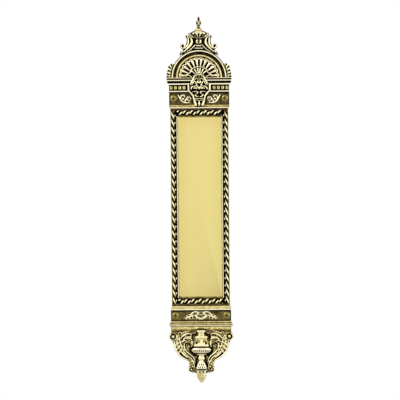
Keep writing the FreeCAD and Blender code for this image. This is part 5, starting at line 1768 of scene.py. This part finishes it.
class FINGERPLATE_OT_stage(bpy.types.Operator):
    """Add the floor, the lamps, the white surroundings and the camera"""

    bl_idname = "fingerplate.stage"
    bl_label = "Stage"

    def floor(self):
        half = FLOOR_HALF_WIDTH
        low = CAD_LOW.z - FLOOR_DROP
        mesh = bpy.data.meshes.new("floor")
        corners = [(x * half, z * half, low) for x, z in ((-1, -1), (1, -1), (1, 1), (-1, 1))]
        mesh.from_pydata(corners, [], [(0, 1, 2, 3)])
        mesh.materials.append(finish_named("painted_board"))
        floor = bpy.data.objects.new("floor", mesh)
        bpy.context.scene.collection.objects.link(floor)

    def lamps(self):
        for name, place, width, power in LAMPS:
            lamp = bpy.data.lights.new(name, "AREA")
            lamp.size = width
            lamp.energy = power
            holder = bpy.data.objects.new(name, lamp)
            holder.location = place
            holder.rotation_euler = (AIM - Vector(place)).to_track_quat("-Z", "Y").to_euler()
            bpy.context.scene.collection.objects.link(holder)

    def surroundings(self):
        """White where the camera, gloss or clear things look, and dimmer as a light."""
        world = bpy.data.worlds.new("surroundings")
        bpy.context.scene.world = world
        world.use_nodes = True
        tree = world.node_tree
        tree.nodes.clear()
        path = add_node(tree, "ShaderNodeLightPath")
        seen = path.outputs["Is Camera Ray"]
        for kind in ("Is Glossy Ray", "Is Transmission Ray"):
            seen = add_node(
                tree, "ShaderNodeMath", {0: seen, 1: path.outputs[kind]}, operation="MAXIMUM"
            ).outputs[0]
        strength = add_node(
            tree, "ShaderNodeMapRange", {"Value": seen, "To Min": WORLD_LIGHT, "To Max": 1.0}
        )
        light = add_node(
            tree,
            "ShaderNodeBackground",
            {"Color": (1, 1, 1, 1), "Strength": strength.outputs[0]},
        )
        add_node(tree, "ShaderNodeOutputWorld", {"Surface": light.outputs["Background"]})

    def camera(self):
        lens = bpy.data.cameras.new("camera")
        lens.lens = LENS
        lens.sensor_width = SENSOR
        camera = bpy.data.objects.new("camera", lens)
        distance = PHOTO_WIDTH * LENS / SENSOR
        camera.location = AIM + Vector((0, -distance, 0))
        camera.rotation_euler = (math.pi / 2, math.radians(ROLL_DEG), 0)
        bpy.context.scene.collection.objects.link(camera)
        bpy.context.scene.camera = camera

    def execute(self, context):
        context.scene.view_settings.view_transform = "Standard"
        self.floor()
        self.lamps()
        self.surroundings()
        self.camera()
        return {"FINISHED"}


PIECE_OPERATORS = (
    FINGERPLATE_OT_mouldings,
    FINGERPLATE_OT_push_panel,
    FINGERPLATE_OT_rope_border,
    FINGERPLATE_OT_bead_rows,
    FINGERPLATE_OT_dentils,
    FINGERPLATE_OT_shell,
    FINGERPLATE_OT_arch_leaves,
    FINGERPLATE_OT_lion_mask,
    FINGERPLATE_OT_frieze_scrolls,
    FINGERPLATE_OT_crest,
    FINGERPLATE_OT_pendant,
    FINGERPLATE_OT_screws,
    FINGERPLATE_OT_stage,
)


class FINGERPLATE_PT_panel(bpy.types.Panel):
    """Lists the plate's pieces"""

    bl_label = "Finger plate"
    bl_idname = "FINGERPLATE_PT_panel"
    bl_space_type = "VIEW_3D"
    bl_region_type = "UI"
    bl_category = "Finger plate"

    def draw(self, context):
        for operator in PIECE_OPERATORS:
            self.layout.operator(operator.bl_idname)


CLASSES = (PlateSizes, PlateColours, *PIECE_OPERATORS, FINGERPLATE_PT_panel)


def register():
    for each in CLASSES:
        bpy.utils.register_class(each)
    bpy.types.Scene.plate_sizes = PointerProperty(type=PlateSizes)
    bpy.types.Scene.plate_colours = PointerProperty(type=PlateColours)


def unregister():
    del bpy.types.Scene.plate_colours
    del bpy.types.Scene.plate_sizes
    for each in reversed(CLASSES):
        bpy.utils.unregister_class(each)


def main():
    register()
    for operator in PIECE_OPERATORS:
        group, name = operator.bl_idname.split(".")
        getattr(getattr(bpy.ops, group), name)()


if __name__ == "__main__":
    main()
